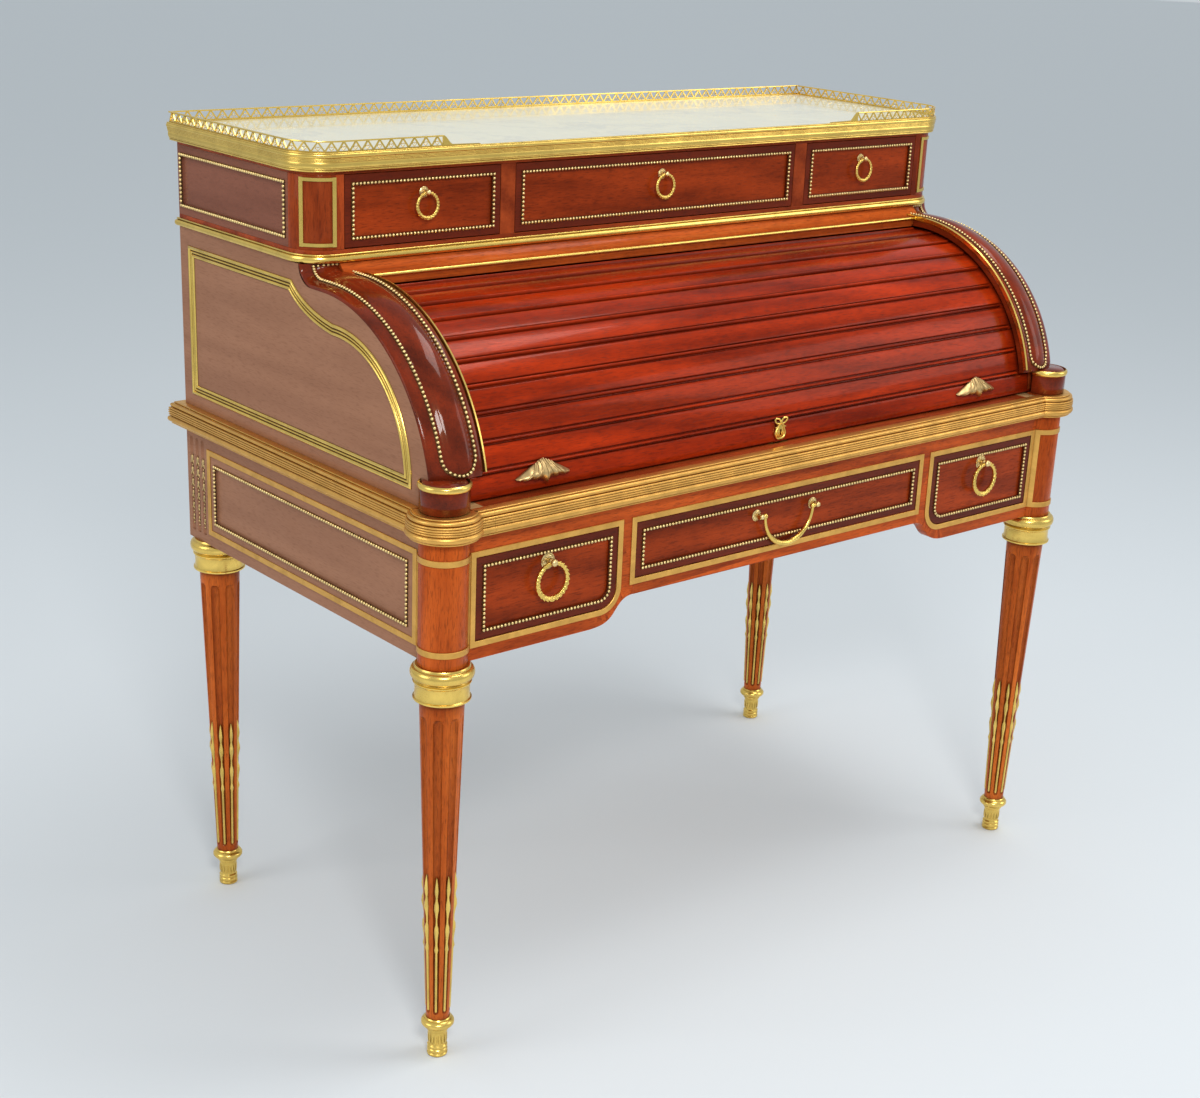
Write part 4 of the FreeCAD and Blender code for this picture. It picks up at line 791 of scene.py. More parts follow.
def fluted_leg(work, x, y):
    """Tapered leg, eight flutes with round ends, a plain neck above and below."""
    flute_low, flute_high = SABOT_TOP + 9 * MM, COLLAR_BOTTOM - 20 * MM
    levels = [SABOT_TOP - 20 * MM, SABOT_TOP, flute_low - 0.5 * MM]
    for i in range(7):
        levels.append(flute_low + 5 * MM * (1 - math.cos(math.pi / 2 * i / 6)))
    for i in range(1, 12):
        levels.append(flute_low + 5 * MM + (flute_high - flute_low - 14 * MM) * i / 12)
    for i in range(9):
        levels.append(flute_high - 9 * MM * (1 - math.sin(math.pi / 2 * i / 8)))
    levels += [flute_high + 0.5 * MM, COLLAR_BOTTOM, FRIEZE_BOTTOM]
    rows = []
    for z in levels:
        radius = leg_radius(min(max(z, SABOT_TOP), COLLAR_BOTTOM))
        if z > COLLAR_BOTTOM + 0.1 * MM:
            radius = 24 * MM
        if z < SABOT_TOP - 0.1 * MM:
            radius = 8 * MM
        half_width = math.pi / FLUTES * 0.6
        if z < flute_low + 5 * MM:
            fade = max(z - flute_low, 0) / (5 * MM)
        else:
            fade = max(min((flute_high - z) / (9 * MM), 1), 0)
        shape = math.sqrt(max(1 - (1 - fade) ** 2, 0))
        row = []
        for flute in range(FLUTES):
            for column in FLUTE_COLUMNS:
                angle = math.tau * (flute + column - 0.5) / FLUTES
                across = abs(column - 0.5) * math.tau / FLUTES / (half_width * max(shape, 0.02))
                hollow = math.sqrt(max(1 - across ** 2, 0))
                cut = FLUTE_DEPTH * radius / LEG_TOP_RADIUS * 1.15 * shape * hollow
                row.append((x + (radius - cut) * math.cos(angle), y + (radius - cut) * math.sin(angle), z))
        rows.append(row)
    work.skin(rows, around=True, ends=True)


def chandelle(work, x, y, angle):
    """Brass husk in a flute: a stem, three leafy knots and a flame tip."""
    bottom, length = 71 * MM, 201 * MM
    section = [(0.0, 0.0), (1.7, 0.0), (1.9, 3.0), (1.9, 88.0), (2.4, 91.0), (2.9, 94.0), (2.2, 98.0),
               (1.7, 102.0), (2.4, 112.0), (3.1, 120.0), (2.7, 127.0), (1.5, 131.0), (1.4, 139.0),
               (2.3, 147.0), (3.3, 154.0), (2.9, 161.0), (1.9, 166.0), (1.6, 170.0), (2.4, 176.0),
               (2.7, 181.0), (1.9, 190.0), (0.9, 197.0), (0.0, 201.0)]
    slope = math.atan2(LEG_TOP_RADIUS - LEG_FOOT_RADIUS, COLLAR_BOTTOM - SABOT_TOP)
    start = leg_radius(bottom) - 1.6 * MM
    work.place = (Matrix.Translation((x, y, bottom)) @ Matrix.Rotation(angle, 4, "Z")
                  @ Matrix.Translation((start, 0, 0)) @ Matrix.Rotation(slope, 4, "Y"))
    rows = []
    for i in range(12):
        a = math.tau * i / 12
        ribs = 1 + 0.14 * math.cos(3 * a)
        deep, wide = ribs * math.cos(a) * 1.2, ribs * math.sin(a) * 1.25
        rows.append([(r * MM * deep, r * MM * wide, z / 201 * length) for r, z in section])
    work.skin(rows, along=True)
    work.place = Matrix.Identity(4)


def leg_places():
    return [(side * place.x, place.y) for place in (COLUMN, REAR_LEG) for side in (-1, 1)]


def make_legs():
    names = ("leg_front_left", "leg_front_right", "leg_back_left", "leg_back_right")
    for name, (x, y) in zip(names, leg_places()):
        leg = Work()
        fluted_leg(leg, x, y)
        leg.make(name + "_fluted", "carcass", [stuff("fluted leg wood")], (name,), crease=40)


def make_husks():
    work = Work()
    for x, y in leg_places():
        for i in range(FLUTES):
            chandelle(work, x, y, math.tau * i / FLUTES)
    post_low, post_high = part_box("back_posts")
    pitch = (post_high.y - post_low.y) * 0.27
    for side in (-1, 1):
        for i in (-1, 0, 1):
            husk_drop(work, side * (HALF - 1.0 * MM), REAR_LEG.y + i * pitch)
    work.make("husks_gilt", "carcass", [stuff("bright gilding"), stuff("antique gilding")],
              ("flute_husks",))


def husk_drop(work, x, y):
    """Graduated bellflowers hanging down a flute of the back post."""
    top = FRIEZE_BOTTOM + 118 * MM
    for i in range(6):
        size = 1 - 0.09 * i
        z = top - 17 * MM * i
        ball(work, (x, y, z), (2.6 * MM * size, 3.4 * MM * size, 5.2 * MM * size), 10, 6, None, 1)
        for turn in (-0.5, 0.5):
            lean = Matrix.Rotation(turn, 3, "X")
            ball(work, (x, y + turn * 5 * MM * size, z - 4.5 * MM),
                 (1.8 * MM, 1.8 * MM * size, 5 * MM * size), 8, 5, lean, 1)
        ball(work, (x, y, z - 10.5 * MM), (1.3 * MM, 1.3 * MM, 1.6 * MM), 8, 5, None, 1)


def make_leg_mounts():
    collars = Work()
    sabots = Work()
    top = FRIEZE_BOTTOM
    collar = [(24.5, -46), (35.4, -46), (36.6, -45.2), (36.6, -43.2), (35.0, -42.2), (34.4, -38),
              (34.2, -32), (34.6, -26), (35.6, -23.4), (36.8, -22.6), (36.8, -21.2), (35.4, -20.4),
              (34.6, -19.2), (35.2, -18.2), (36.6, -17.6)]
    collar = [(r * MM, top + z * MM) for r, z in collar]
    collar += bulge(top - 17.4 * MM, top - 3.4 * MM, 36.0 * MM, 4.4 * MM, 12)
    collar += [(35.4 * MM, top - 3.0 * MM), (35.2 * MM, top - 1.6 * MM), (34.2 * MM, top), (24.5 * MM, top)]
    sabot = in_mm([(0.0, 0.0), (12.2, 0.0), (13.4, 1.0), (13.6, 3.2), (12.4, 4.4), (12.4, 5.4), (13.4, 6.4),
                   (13.4, 9.4), (12.4, 10.6), (12.4, 11.4), (13.3, 12.4), (13.3, 14.6), (11.4, 16.4),
                   (11.6, 24.0), (12.2, 32.0), (12.8, 37.5), (14.6, 39.0), (14.8, 41.0), (14.0, 42.4),
                   (16.5, 44.0), (20.0, 45.6), (21.8, 48.0), (21.8, 51.2), (20.2, 53.6), (17.2, 55.2),
                   (17.4, 57.0), (16.4, 58.4), (14.6, 58.4), (8.0, 50.0), (0.0, 50.0)])
    for x, y in leg_places():
        turned(collars, collar, x, y, 64)
        turned(sabots, sabot, x, y, 48)
        for i in range(16):
            a = math.tau * i / 16
            spot = (x + 12.2 * MM * math.cos(a), y + 12.2 * MM * math.sin(a), 27 * MM)
            ball(sabots, spot, (0.9 * MM, 1.5 * MM, 8.5 * MM), 8, 6, Matrix.Rotation(a, 3, "Z"))
    collars.make("collars_gilt", "carcass", [stuff("bright gilding")], ("leg_collars",))
    sabots.make("sabots_gilt", "carcass", [stuff("bright gilding")], ("leg_sabots",))


# ------------------------------------------------------------------ flat brass frames
def flat_section(width, proud):
    """Flat fillet with softened edges, drawn from its outer edge inwards."""
    ease = proud * 0.4
    return [(0, -BEDDING), (0, proud - ease), (-ease, proud), (-width + ease, proud),
            (-width, proud - ease), (-width, -BEDDING)]


def make_flat_frames():
    """Brass fillets round the frieze drawers, on the columns and on the side aprons."""
    work = Work()
    section = flat_section(FLAT_WIDTH, FLAT_PROUD)
    face = on_front(FRONT)
    drawer_low, drawer_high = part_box("drawer_right")
    gap = DRAWER_GAP + FLAT_WIDTH
    sides = [FLAT_BOTTOM, FLAT_TOP]
    radii = (DRAWER_CORNER + FLAT_WIDTH, 0, 0, 0)
    run(work, outline(drawer_low.x - gap, drawer_high.x + gap, *sides, radii, 12), section, face, True)
    run(work, outline(SIDE_FLAT_FRONT, SIDE_FLAT_BACK, *sides), section, on_side(HALF), True)
    bend = math.degrees(FLAT_WIDTH / COLUMN_RADIUS)
    start = 180 + math.degrees(math.asin((COLUMN.y - FRONT) / COLUMN_RADIUS))
    finish = 360 + math.degrees(math.acos((HALF - COLUMN.x) / COLUMN_RADIUS))
    for z0, z1 in ((FLAT_BOTTOM, FLAT_BOTTOM + FLAT_WIDTH), (FLAT_TOP - FLAT_WIDTH, FLAT_TOP)):
        turned(work, column_strip(z0, z1), COLUMN.x, COLUMN.y, 24, start, finish - start)
    for a in (start, finish - bend):
        turned(work, column_strip(*sides), COLUMN.x, COLUMN.y, 5, a, bend)
    work.mirror()
    centre_low, centre_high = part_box("drawer_centre")
    path = outline(centre_low.x - gap, centre_high.x + gap, centre_low.z - gap, FLAT_TOP)
    run(work, path, section, face, True)
    work.make("frieze_fillets", "carcass", [stuff("satin gilding")], ("frieze_frames",))


def column_strip(z0, z1):
    """Section of a fillet that lies round the corner column."""
    r = COLUMN_RADIUS
    ease = 0.5 * MM
    return [(r - BEDDING, z0), (r + FLAT_PROUD - ease, z0), (r + FLAT_PROUD, z0 + ease),
            (r + FLAT_PROUD, z1 - ease), (r + FLAT_PROUD - ease, z1), (r - BEDDING, z1)]


def triple_frame(work, path, width, space):
    """Three rounded ridges side by side on a toned ground, the outer two stouter."""
    ground = [(0, -BEDDING), (0, 0.3 * MM), (-width, 0.3 * MM), (-width, -BEDDING)]
    run(work, path, ground, space, True, 1)
    for start, end, rise in ((0.0, 0.34, 2.3), (0.42, 0.60, 1.4), (0.68, 0.98, 2.0)):
        ridge = [(-width * start, 0.1 * MM)]
        for i in range(9):
            t = i / 8
            bow = math.sin(math.pi * t) ** 0.6
            ridge.append((-width * (start + (end - start) * t), 0.2 * MM + rise * MM * bow))
        ridge.append((-width * end, 0.1 * MM))
        run(work, path, ridge, space, True)


def scroll_panel_path():
    """Outline of the roll's side panel: straight behind, following the roll in front."""
    rear = BACK - 23 * MM
    foot_z, top = MOULDING_TOP + 17 * MM, BELT_BOTTOM - 22.5 * MM
    arc_low, arc_high = 14.5, 83.7
    crown_y = UPPER_FRONT + 2.8 * MM
    front = []
    for i in range(25):
        t = i / 24
        angle = math.radians(arc_low + (arc_high - arc_low) * t)
        radius = (200.5 + 11.0 * math.sin(math.pi * t)) * MM
        front.append((ROLL.y - radius * math.cos(angle), ROLL.z + radius * math.sin(angle)))
    last = Vector(front[-1])
    hollow = Vector((crown_y, top - 26.6 * MM))
    knee = Vector((UPPER_FRONT + 36.8 * MM, top))
    for i in range(1, 13):
        t = i / 12
        spot = last * (1 - t) ** 2 + hollow * 2 * t * (1 - t) + knee * t ** 2
        bow = 4 * t * (1 - t) * 3 * MM
        front.append((spot.x + bow, spot.y - bow * 0.4))
    return [(rear, foot_z), (rear, top)] + front[::-1] + [(front[0][0], foot_z)]


def make_panel_frames():
    """Triple line frames on the roll's sides and the small frames on the upper corners."""
    work = Work()
    triple_frame(work, scroll_panel_path(), 15 * MM, on_side(HALF))
    corner_x, corner_y = HALF - UPPER_CORNER, UPPER_FRONT + UPPER_CORNER
    low_z, high_z = low("upper_corner_posts").z + 4 * MM, high("upper_corner_posts").z - 3 * MM
    r = UPPER_CORNER
    proud = r + FLAT_PROUD
    for z0, z1 in ((low_z, low_z + 5 * MM), (high_z - 5 * MM, high_z)):
        strip = [(r - BEDDING, z0), (proud, z0 + 0.4 * MM), (proud, z1 - 0.4 * MM), (r - BEDDING, z1)]
        turned(work, strip, corner_x, corner_y, 20, -90, 63)
    for a in (-90, -34):
        strip = [(r - BEDDING, low_z), (proud, low_z), (proud, high_z), (r - BEDDING, high_z)]
        turned(work, strip, corner_x, corner_y, 4, a, 7)
    work.mirror()
    work.make("panel_fillets", "carcass", [stuff("bright gilding"), stuff("toned brass")],
              ("panel_frames",))


# ------------------------------------------------------------------ reeded mouldings
def table_section(reach, z0, z1):
    """Reeded table edge: a stout torus below, three reeds, a hollow and a fine top reed."""
    h = z1 - z0
    members = ((0.0, 0.08, 0.72, 0.05), (0.085, 0.36, 0.80, 0.19), (0.37, 0.46, 0.84, 0.07),
               (0.465, 0.555, 0.86, 0.07), (0.56, 0.65, 0.86, 0.07), (0.655, 0.745, 0.84, 0.07),
               (0.75, 0.93, 0.70, 0.12), (0.935, 1.0, 0.56, 0.05))
    points = [(-1.0 * MM, z0)]
    for a, b, base, swell in members:
        points += bulge(z0 + h * a, z0 + h * b, reach * base, reach * swell, 5)
    points.append((-1.0 * MM, z1))
    return points


def make_table_moulding():
    work = Work()
    section = table_section(OVERHANG, MOULDING_BOTTOM, MOULDING_TOP)
    seat = math.sqrt(TURRET_RADIUS ** 2 - (COLUMN.y - FRONT + OVERHANG) ** 2)
    space = on_level(0)
    stub = [(SLIDE_HALF + 0.3 * MM, FRONT), (COLUMN.x - seat + 6 * MM, FRONT)]
    run(work, stub, section, space)
    seat = math.sqrt(TURRET_RADIUS ** 2 - (HALF - COLUMN.x + OVERHANG) ** 2)
    shift = TURRET_RADIUS - OVERHANG
    around = [(shift + r, z) for r, z in section]
    turned(work, around, COLUMN.x, COLUMN.y, 54, -144, 186)
    work.mirror()
    side_start = COLUMN.y + seat - 6 * MM
    path = [(HALF, side_start), (HALF, BACK), (-HALF, BACK), (-HALF, side_start)]
    run(work, path, section, space)
    work.make("table_edge", "carcass", [stuff("satin gilding")], ("table_moulding",))
    work = Work()
    run(work, [(-SLIDE_HALF, FRONT), (SLIDE_HALF, FRONT)], section, space)
    bolt_y = middle("lock_bolt").y
    plate = SLIDE_TOP - 1.4 * MM
    for side in (-1, 1):
        work.block(side * 9.2 * MM, side * 17 * MM, bolt_y - 6 * MM, bolt_y + 6 * MM, plate, SLIDE_TOP)
        work.block(-9.2 * MM, 9.2 * MM, bolt_y + side * 3.5 * MM, bolt_y + side * 6 * MM, plate, SLIDE_TOP)
    work.block(-9 * MM, 9 * MM, FRONT - 1 * MM, FRONT + 5 * MM, SLIDE_TOP - 0.5 * MM, SLIDE_TOP + 1.2 * MM)
    work.make("slide_edge", "slide", [stuff("satin gilding")], ("slide_brass",))


def upper_path():
    """Plan of the upper case, its front corners rounded."""
    return outline(-HALF, HALF, UPPER_FRONT, BACK, (UPPER_CORNER, UPPER_CORNER, 0, 0), 14)


def make_upper_mouldings():
    """Belt under the upper drawers and the reeded cornice band."""
    belt_low, belt_high = low("belt_moulding").z, high("belt_moulding").z
    span = belt_high - belt_low
    belt = [(-0.5 * MM, belt_low)]
    for a, b, base, swell in ((0.0, 0.76, 2.2, 2.8), (0.78, 1.0, 1.8, 1.0)):
        belt += bulge(belt_low + span * a, belt_low + span * b, base * MM, swell * MM, 5)
    belt.append((-0.5 * MM, belt_high))
    work = Work()
    run(work, upper_path(), belt, on_level(0), True)
    work.make("belt_reeds", "carcass", [stuff("bright gilding")], ("belt_moulding",))
    span = BAND_TOP - BAND_BOTTOM
    members = ((0.0, 0.12, 0.62, 0.12), (0.125, 0.20, 0.74, 0.04), (0.205, 0.50, 0.80, 0.05),
               (0.505, 0.57, 0.86, 0.04), (0.575, 0.64, 0.88, 0.04), (0.645, 0.71, 0.90, 0.04),
               (0.72, 0.93, 0.92, 0.08), (0.935, 1.0, 0.90, 0.04))
    band = [(-1.0 * MM, BAND_BOTTOM)]
    for a, b, base, swell in members:
        z0, z1 = BAND_BOTTOM + span * a, BAND_BOTTOM + span * b
        band += bulge(z0, z1, BAND_PROUD * base, BAND_PROUD * swell, 5)
    inner = BAND_PROUD - 5 * MM
    marble_top = high("marble_top").z
    band += [(inner, BAND_TOP), (inner, marble_top - 1 * MM), (-1.0 * MM, marble_top - 16 * MM)]
    work = Work()
    run(work, upper_path(), band, on_level(0), True)
    work.make("cornice_reeds", "carcass", [stuff("bright gilding")], ("cornice_band",))


# ------------------------------------------------------------------ gallery
GALLERY_FOOT = BAND_TOP
GALLERY_TOP = high("gallery").z
GALLERY_OUT = high("gallery").x - HALF
GALLERY_END = 385 * MM


def walk(path, pitch):
    """Even steps along a path: (place, direction) of each."""
    lengths = [(Vector(b) - Vector(a)).length for a, b in zip(path, path[1:])]
    count = round(sum(lengths) / pitch)
    steps = []
    for i in range(count + 1):
        want = sum(lengths) * i / count
        for length, a, b in zip(lengths, path, path[1:]):
            if want <= length + 1e-9:
                along = (Vector(b) - Vector(a)).normalized()
                steps.append((Vector(a).lerp(Vector(b), want / length), along))
                break
            want -= length
    return steps


def make_gallery():
    """Pierced railing: foot and top rails, zigzag bars with a heart in each bay, ogee ends."""
    pitch = bpy.context.scene.desk_trim.gallery_pitch
    r = UPPER_CORNER + GALLERY_OUT
    x1, y0, y1 = HALF + GALLERY_OUT, UPPER_FRONT - GALLERY_OUT, BACK + GALLERY_OUT
    right = [(GALLERY_END, y0)] + arc(x1 - r, y0 + r, r, -90, 90, 14) + [(x1, y1)]
    path = right + [(-x, y) for x, y in right[::-1]]
    z0, z1 = GALLERY_FOOT, GALLERY_TOP
    inside = -2 * MM
    work = Work()
    space = on_level(0)
    foot = [(0, z0), (0, z0 + 1.6 * MM), (inside, z0 + 1.6 * MM), (inside, z0)]
    top = [(0.3 * MM, z1 - 1.8 * MM), (0.5 * MM, z1 - 0.9 * MM), (0.1 * MM, z1), (inside - 0.1 * MM, z1),
           (inside - 0.5 * MM, z1 - 0.9 * MM), (inside - 0.3 * MM, z1 - 1.8 * MM)]
    run(work, path, foot, space)
    run(work, path, top, space)
    steps = walk(path, pitch / 2)
    low_z, high_z = z0 + 1.0 * MM, z1 - 1.2 * MM
    for i, ((a, along), (b, _)) in enumerate(zip(steps, steps[1:])):
        rise = (low_z, high_z) if i % 2 else (high_z, low_z)
        inward = Vector((-along.y, along.x)) * 1.0 * MM
        bar(work, (*(a + inward), rise[0]), (*(b + inward), rise[1]), along, 0.95 * MM, 0.7 * MM)
        if i % 2:
            heart(work, b + inward, along, low_z + 1.2 * MM, (high_z - low_z) * 0.45)
    for side in (-1, 1):
        ogee_end(work, side, GALLERY_END, y0, z0, z1)
    work.make("gallery_pierced", "carcass", [stuff("bright gilding")], ("gallery",))


def bar(work, a, b, along, half_width, half_depth):
    """Slim flat bar between two points of the gallery's wall."""
    depth = Vector((-along.y, along.x, 0)) * half_depth
    a, b = Vector(a), Vector(b)
    wide = (b - a).normalized().cross(depth.normalized()) * half_width
    rows = [[p + wide + depth, p + wide - depth, p - wide - depth, p - wide + depth] for p in (a, b)]
    work.skin(rows, around=True, ends=True)


def heart(work, place, along, z0, size):
    """Small open heart standing between two bars."""
    line = []
    for i in range(12):
        t = math.tau * i / 12
        across = 0.62 * math.sin(t) ** 3
        up = (13 * math.cos(t) - 5 * math.cos(2 * t) - 2 * math.cos(3 * t) - math.cos(4 * t)) / 32 + 0.5
        line.append((place.x + along.x * across * size, place.y + along.y * across * size, z0 + up * size))
    tube(work, line, [0.45 * MM] * 12, 5, closed=True)


def ogee_end(work, side, x, y, z0, z1):
    """The front return sinks in an ogee to a thin tongue on the band."""
    points = []
    for i in range(13):
        t = i / 12
        fall = 0.5 + 0.5 * math.cos(math.pi * t)
        points.append((x - 16 * MM * t, z0 + 2.2 * MM + (z1 - z0 - 2.2 * MM) * fall))
    points += [(x - 58 * MM, z0 + 1.4 * MM), (x - 60 * MM, z0)]
    rows = []
    for depth in (0.0, 2 * MM):
        rows.append([(side * px, y + depth, pz) for px, pz in points + [(x, z0)]])
    work.skin(rows, around=True, ends=True)


# ------------------------------------------------------------------ scrolls over the roll's sides
def scroll_line():
    """(y, z) along the scroll's wooden edge, from its foot over the crown and up to the belt."""
    foot = math.asin((MOULDING_TOP + BLOCK_HEIGHT - ROLL.z) / CHEEK_RADIUS)
    points = []
    for i in range(41):
        a = foot + (math.pi / 2 - foot) * i / 40
        points.append((ROLL.y - CHEEK_RADIUS * math.cos(a), ROLL.z + CHEEK_RADIUS * math.sin(a)))
    start, reach = UPPER_FRONT - 8 * MM, 28 * MM
    rise = BELT_BOTTOM - (ROLL.z + CHEEK_RADIUS)
    for i in range(13):
        a = math.pi / 2 * i / 12
        points.append((start + reach * math.sin(a), BELT_BOTTOM - rise + rise * (1 - math.cos(a))))
    return points


def scroll_place(line):
    """Gives a function from (x, distance along, rise) to a place on the scroll."""
    normals = [-n for n in outward(line, False)]
    lengths = [0.0]
    for a, b in zip(line, line[1:]):
        lengths.append(lengths[-1] + (Vector(b) - Vector(a)).length)

    def place(x, along, rise):
        along = min(max(along, 0.0), lengths[-1] - 1e-7)
        i = max(k for k, length in enumerate(lengths[:-1]) if length <= along)
        t = (along - lengths[i]) / (lengths[i + 1] - lengths[i])
        here = Vector(line[i]).lerp(Vector(line[i + 1]), t)
        normal = normals[i].lerp(normals[i + 1], t).normalized()
        return x, here.x + normal.x * rise, min(here.y + normal.y * rise, BELT_BOTTOM)

    return place, lengths


def high_bead():
    """Outermost radius of the slats' astragals."""
    return SLAT_RADIUS + 2.6 * MM


def scroll_rise(x):
    """Height of the cap over the wood, across its width: bead, bullnose, bead."""
    t = (x - CHEEK_INSIDE) / (HALF - CHEEK_INSIDE)
    slope = 14.5 - 10.5 * t ** 1.6
    nose = 4.6 * math.sqrt(max(1 - ((t - 0.465) / 0.235) ** 2, 0))
    edge = min(t / 0.05, (1 - t) / 0.05, 1)
    return (slope + nose) * MM * (0.75 + 0.25 * math.sqrt(max(edge, 0)))


def make_scrolls():
    place, lengths = scroll_place(scroll_line())
    whole = lengths[-1]
    caps = Work()
    shares = [0, 0.015, 0.05, 0.12, 0.185, 0.195, 0.22, 0.27, 0.33, 0.4, 0.46, 0.52, 0.59, 0.65, 0.70,
              0.725, 0.735, 0.8, 0.9, 0.95, 0.985, 1]
    stations = [CHEEK_INSIDE + (HALF - CHEEK_INSIDE) * s for s in shares]
    rows = []
    for along in lengths:
        fade = min(along / (12 * MM), 1.0)
        row = [place(x, along, scroll_rise(x) - 3 * MM * (1 - math.sqrt(max(fade * (2 - fade), 0))))
               for x in stations]
        rows.append(row + [place(HALF, along, -0.3 * MM), place(CHEEK_INSIDE, along, -0.3 * MM)])
    caps.skin(rows, around=True, ends=True)
    block_top = MOULDING_TOP + BLOCK_HEIGHT
    block = [(0, MOULDING_TOP), (COLUMN_RADIUS - 1 * MM, MOULDING_TOP),
             (COLUMN_RADIUS, MOULDING_TOP + 1 * MM), (COLUMN_RADIUS, block_top - 5 * MM),
             (COLUMN_RADIUS - 1 * MM, block_top),
             (COLUMN_RADIUS - 6 * MM, block_top + 4 * MM), (0, block_top + 4 * MM)]
    turned(caps, block, COLUMN.x, COLUMN.y, 48, -180, 240)
    caps.mirror()
    caps.make("scroll_bullnoses", "carcass", [stuff("scroll wood")], ("scroll_caps",),
              crease=60)
    lines = Work()
    near, far = CHEEK_INSIDE + 0.5 * MM, CHEEK_INSIDE - 2.2 * MM
    edges = ((near, 9 * MM), (far, 9.5 * MM), (far, 15.5 * MM), (near, 16.2 * MM))
    rows = []
    for along in lengths:
        if along < whole - 28 * MM:
            rows.append([place(x, along + 4 * MM, rise) for x, rise in edges])
    lines.skin(rows, around=True, ends=True)
    rim = [(COLUMN_RADIUS - 0.6 * MM, block_top - 5 * MM)] + [
        (COLUMN_RADIUS + r, z) for r, z in bulge(block_top - 4.6 * MM, block_top + 3 * MM, 0, 2.2 * MM, 6)]
    rim.append((COLUMN_RADIUS - 0.6 * MM, block_top + 3.4 * MM))
    turned(lines, rim, COLUMN.x, COLUMN.y, 40, -180, 240)
    lines.mirror()
    rail_low = low("cavetto_rail")
    lip = rail_low.y
    z0 = BELT_BOTTOM - 17 * MM
    bead = [(lip + 0.3 * MM, z0)] + [(lip - r, z) for r, z in bulge(z0, z0 + 5 * MM, 0.4 * MM, 1.6 * MM, 6)]
    bead.append((lip + 0.3 * MM, z0 + 5 * MM))
    reach = CHEEK_INSIDE - 2.5 * MM
    carry(lines, bead, -reach, reach)
    lines.make("scroll_lines", "carcass", [stuff("bright gilding")], ("scroll_fillets",))
    brow = Work()
    z0 = ROLL.z + high_bead() + 0.8 * MM
    brow.block(-reach, reach, lip, lip + 8 * MM, z0, rail_low.z + 0.5 * MM)
    brow.make("cavetto_brow", "carcass", [stuff("amber across")], soften=0.8 * MM)
    return place, whole


def make_pearls(place, whole):
    """Pearl strings: along the scrolls, on the side aprons and on the upper sides."""
    work = Work()

    def space(x, along, proud):
        return place(x, along, scroll_rise(x) + proud)

    width = HALF - CHEEK_INSIDE
    inner, outer = CHEEK_INSIDE + 0.155 * width, CHEEK_INSIDE + 0.775 * width
    radius = (outer - inner) / 2
    foot = 4 * MM + radius
    top = whole - 5 * MM
    path = [(inner, top)] + [(inner, top - (top - foot) * i / 60) for i in range(1, 61)]
    path += arc((inner + outer) / 2, foot, radius, 180, 180, 14)[1:]
    path += [(outer, foot + (top - foot) * i / 60) for i in range(1, 61)]
    pearls(work, path, space)
    inset = FLAT_WIDTH + BEAD_INSET + 2 * MM
    pearls(work, outline(SIDE_FLAT_FRONT + inset, SIDE_FLAT_BACK - inset, FLAT_BOTTOM + inset,
                         FLAT_TOP - inset), on_side(HALF))
    up_low, up_high = low("upper_corner_posts").z + 12.5 * MM, high("upper_corner_posts").z - 12.5 * MM
    pearls(work, outline(UPPER_FRONT + UPPER_CORNER + 8 * MM, BACK - 9 * MM, up_low, up_high),
           on_side(HALF))
    work.mirror()
    work.make("pearl_strings", "carcass", pearl_finishes(), ("pearl_mouldings",))


# ------------------------------------------------------------------ tambour
def roll_point(radius, degrees):
    a = math.radians(degrees)
    return ROLL.y - radius * math.cos(a), ROLL.z + radius * math.sin(a)


def slat_section(a0, a1, seat):
    """One slat in (y, z): a low seat for its astragal, then a slightly crowned face."""
    inner, face = CANVAS_OUTSIDE + 0.05 * MM, SLAT_RADIUS
    quirk = face - 2.6 * MM
    points = [roll_point(inner, a0), roll_point(quirk, a0), roll_point(quirk, a0 + seat)]
    rise = a0 + seat + 0.14
    points += [roll_point(face - 1.2 * MM, rise), roll_point(face - 0.5 * MM, rise + 0.12)]
    for i in range(9):
        t = i / 8
        a = rise + 0.35 + (a1 - 0.55 - rise - 0.35) * t
        points.append(roll_point(face - 0.35 * MM * (1 - math.sin(math.pi * t)), a))
    points += [roll_point(face - 0.6 * MM, a1 - 0.28), roll_point(face - 1.4 * MM, a1 - 0.08)]
    points += [roll_point(quirk, a1), roll_point(inner, a1)]
    return points


def astragal_section(a0):
    """Half-round bead in (y, z), standing in its seat between two quirks."""
    points = []
    for i in range(11):
        t = i / 10
        points.append(roll_point(SLAT_RADIUS - 2.8 * MM + 5.2 * MM * math.sin(math.pi * t) ** 0.6,
                                 a0 + 0.22 + 1.2 * t))
    return points


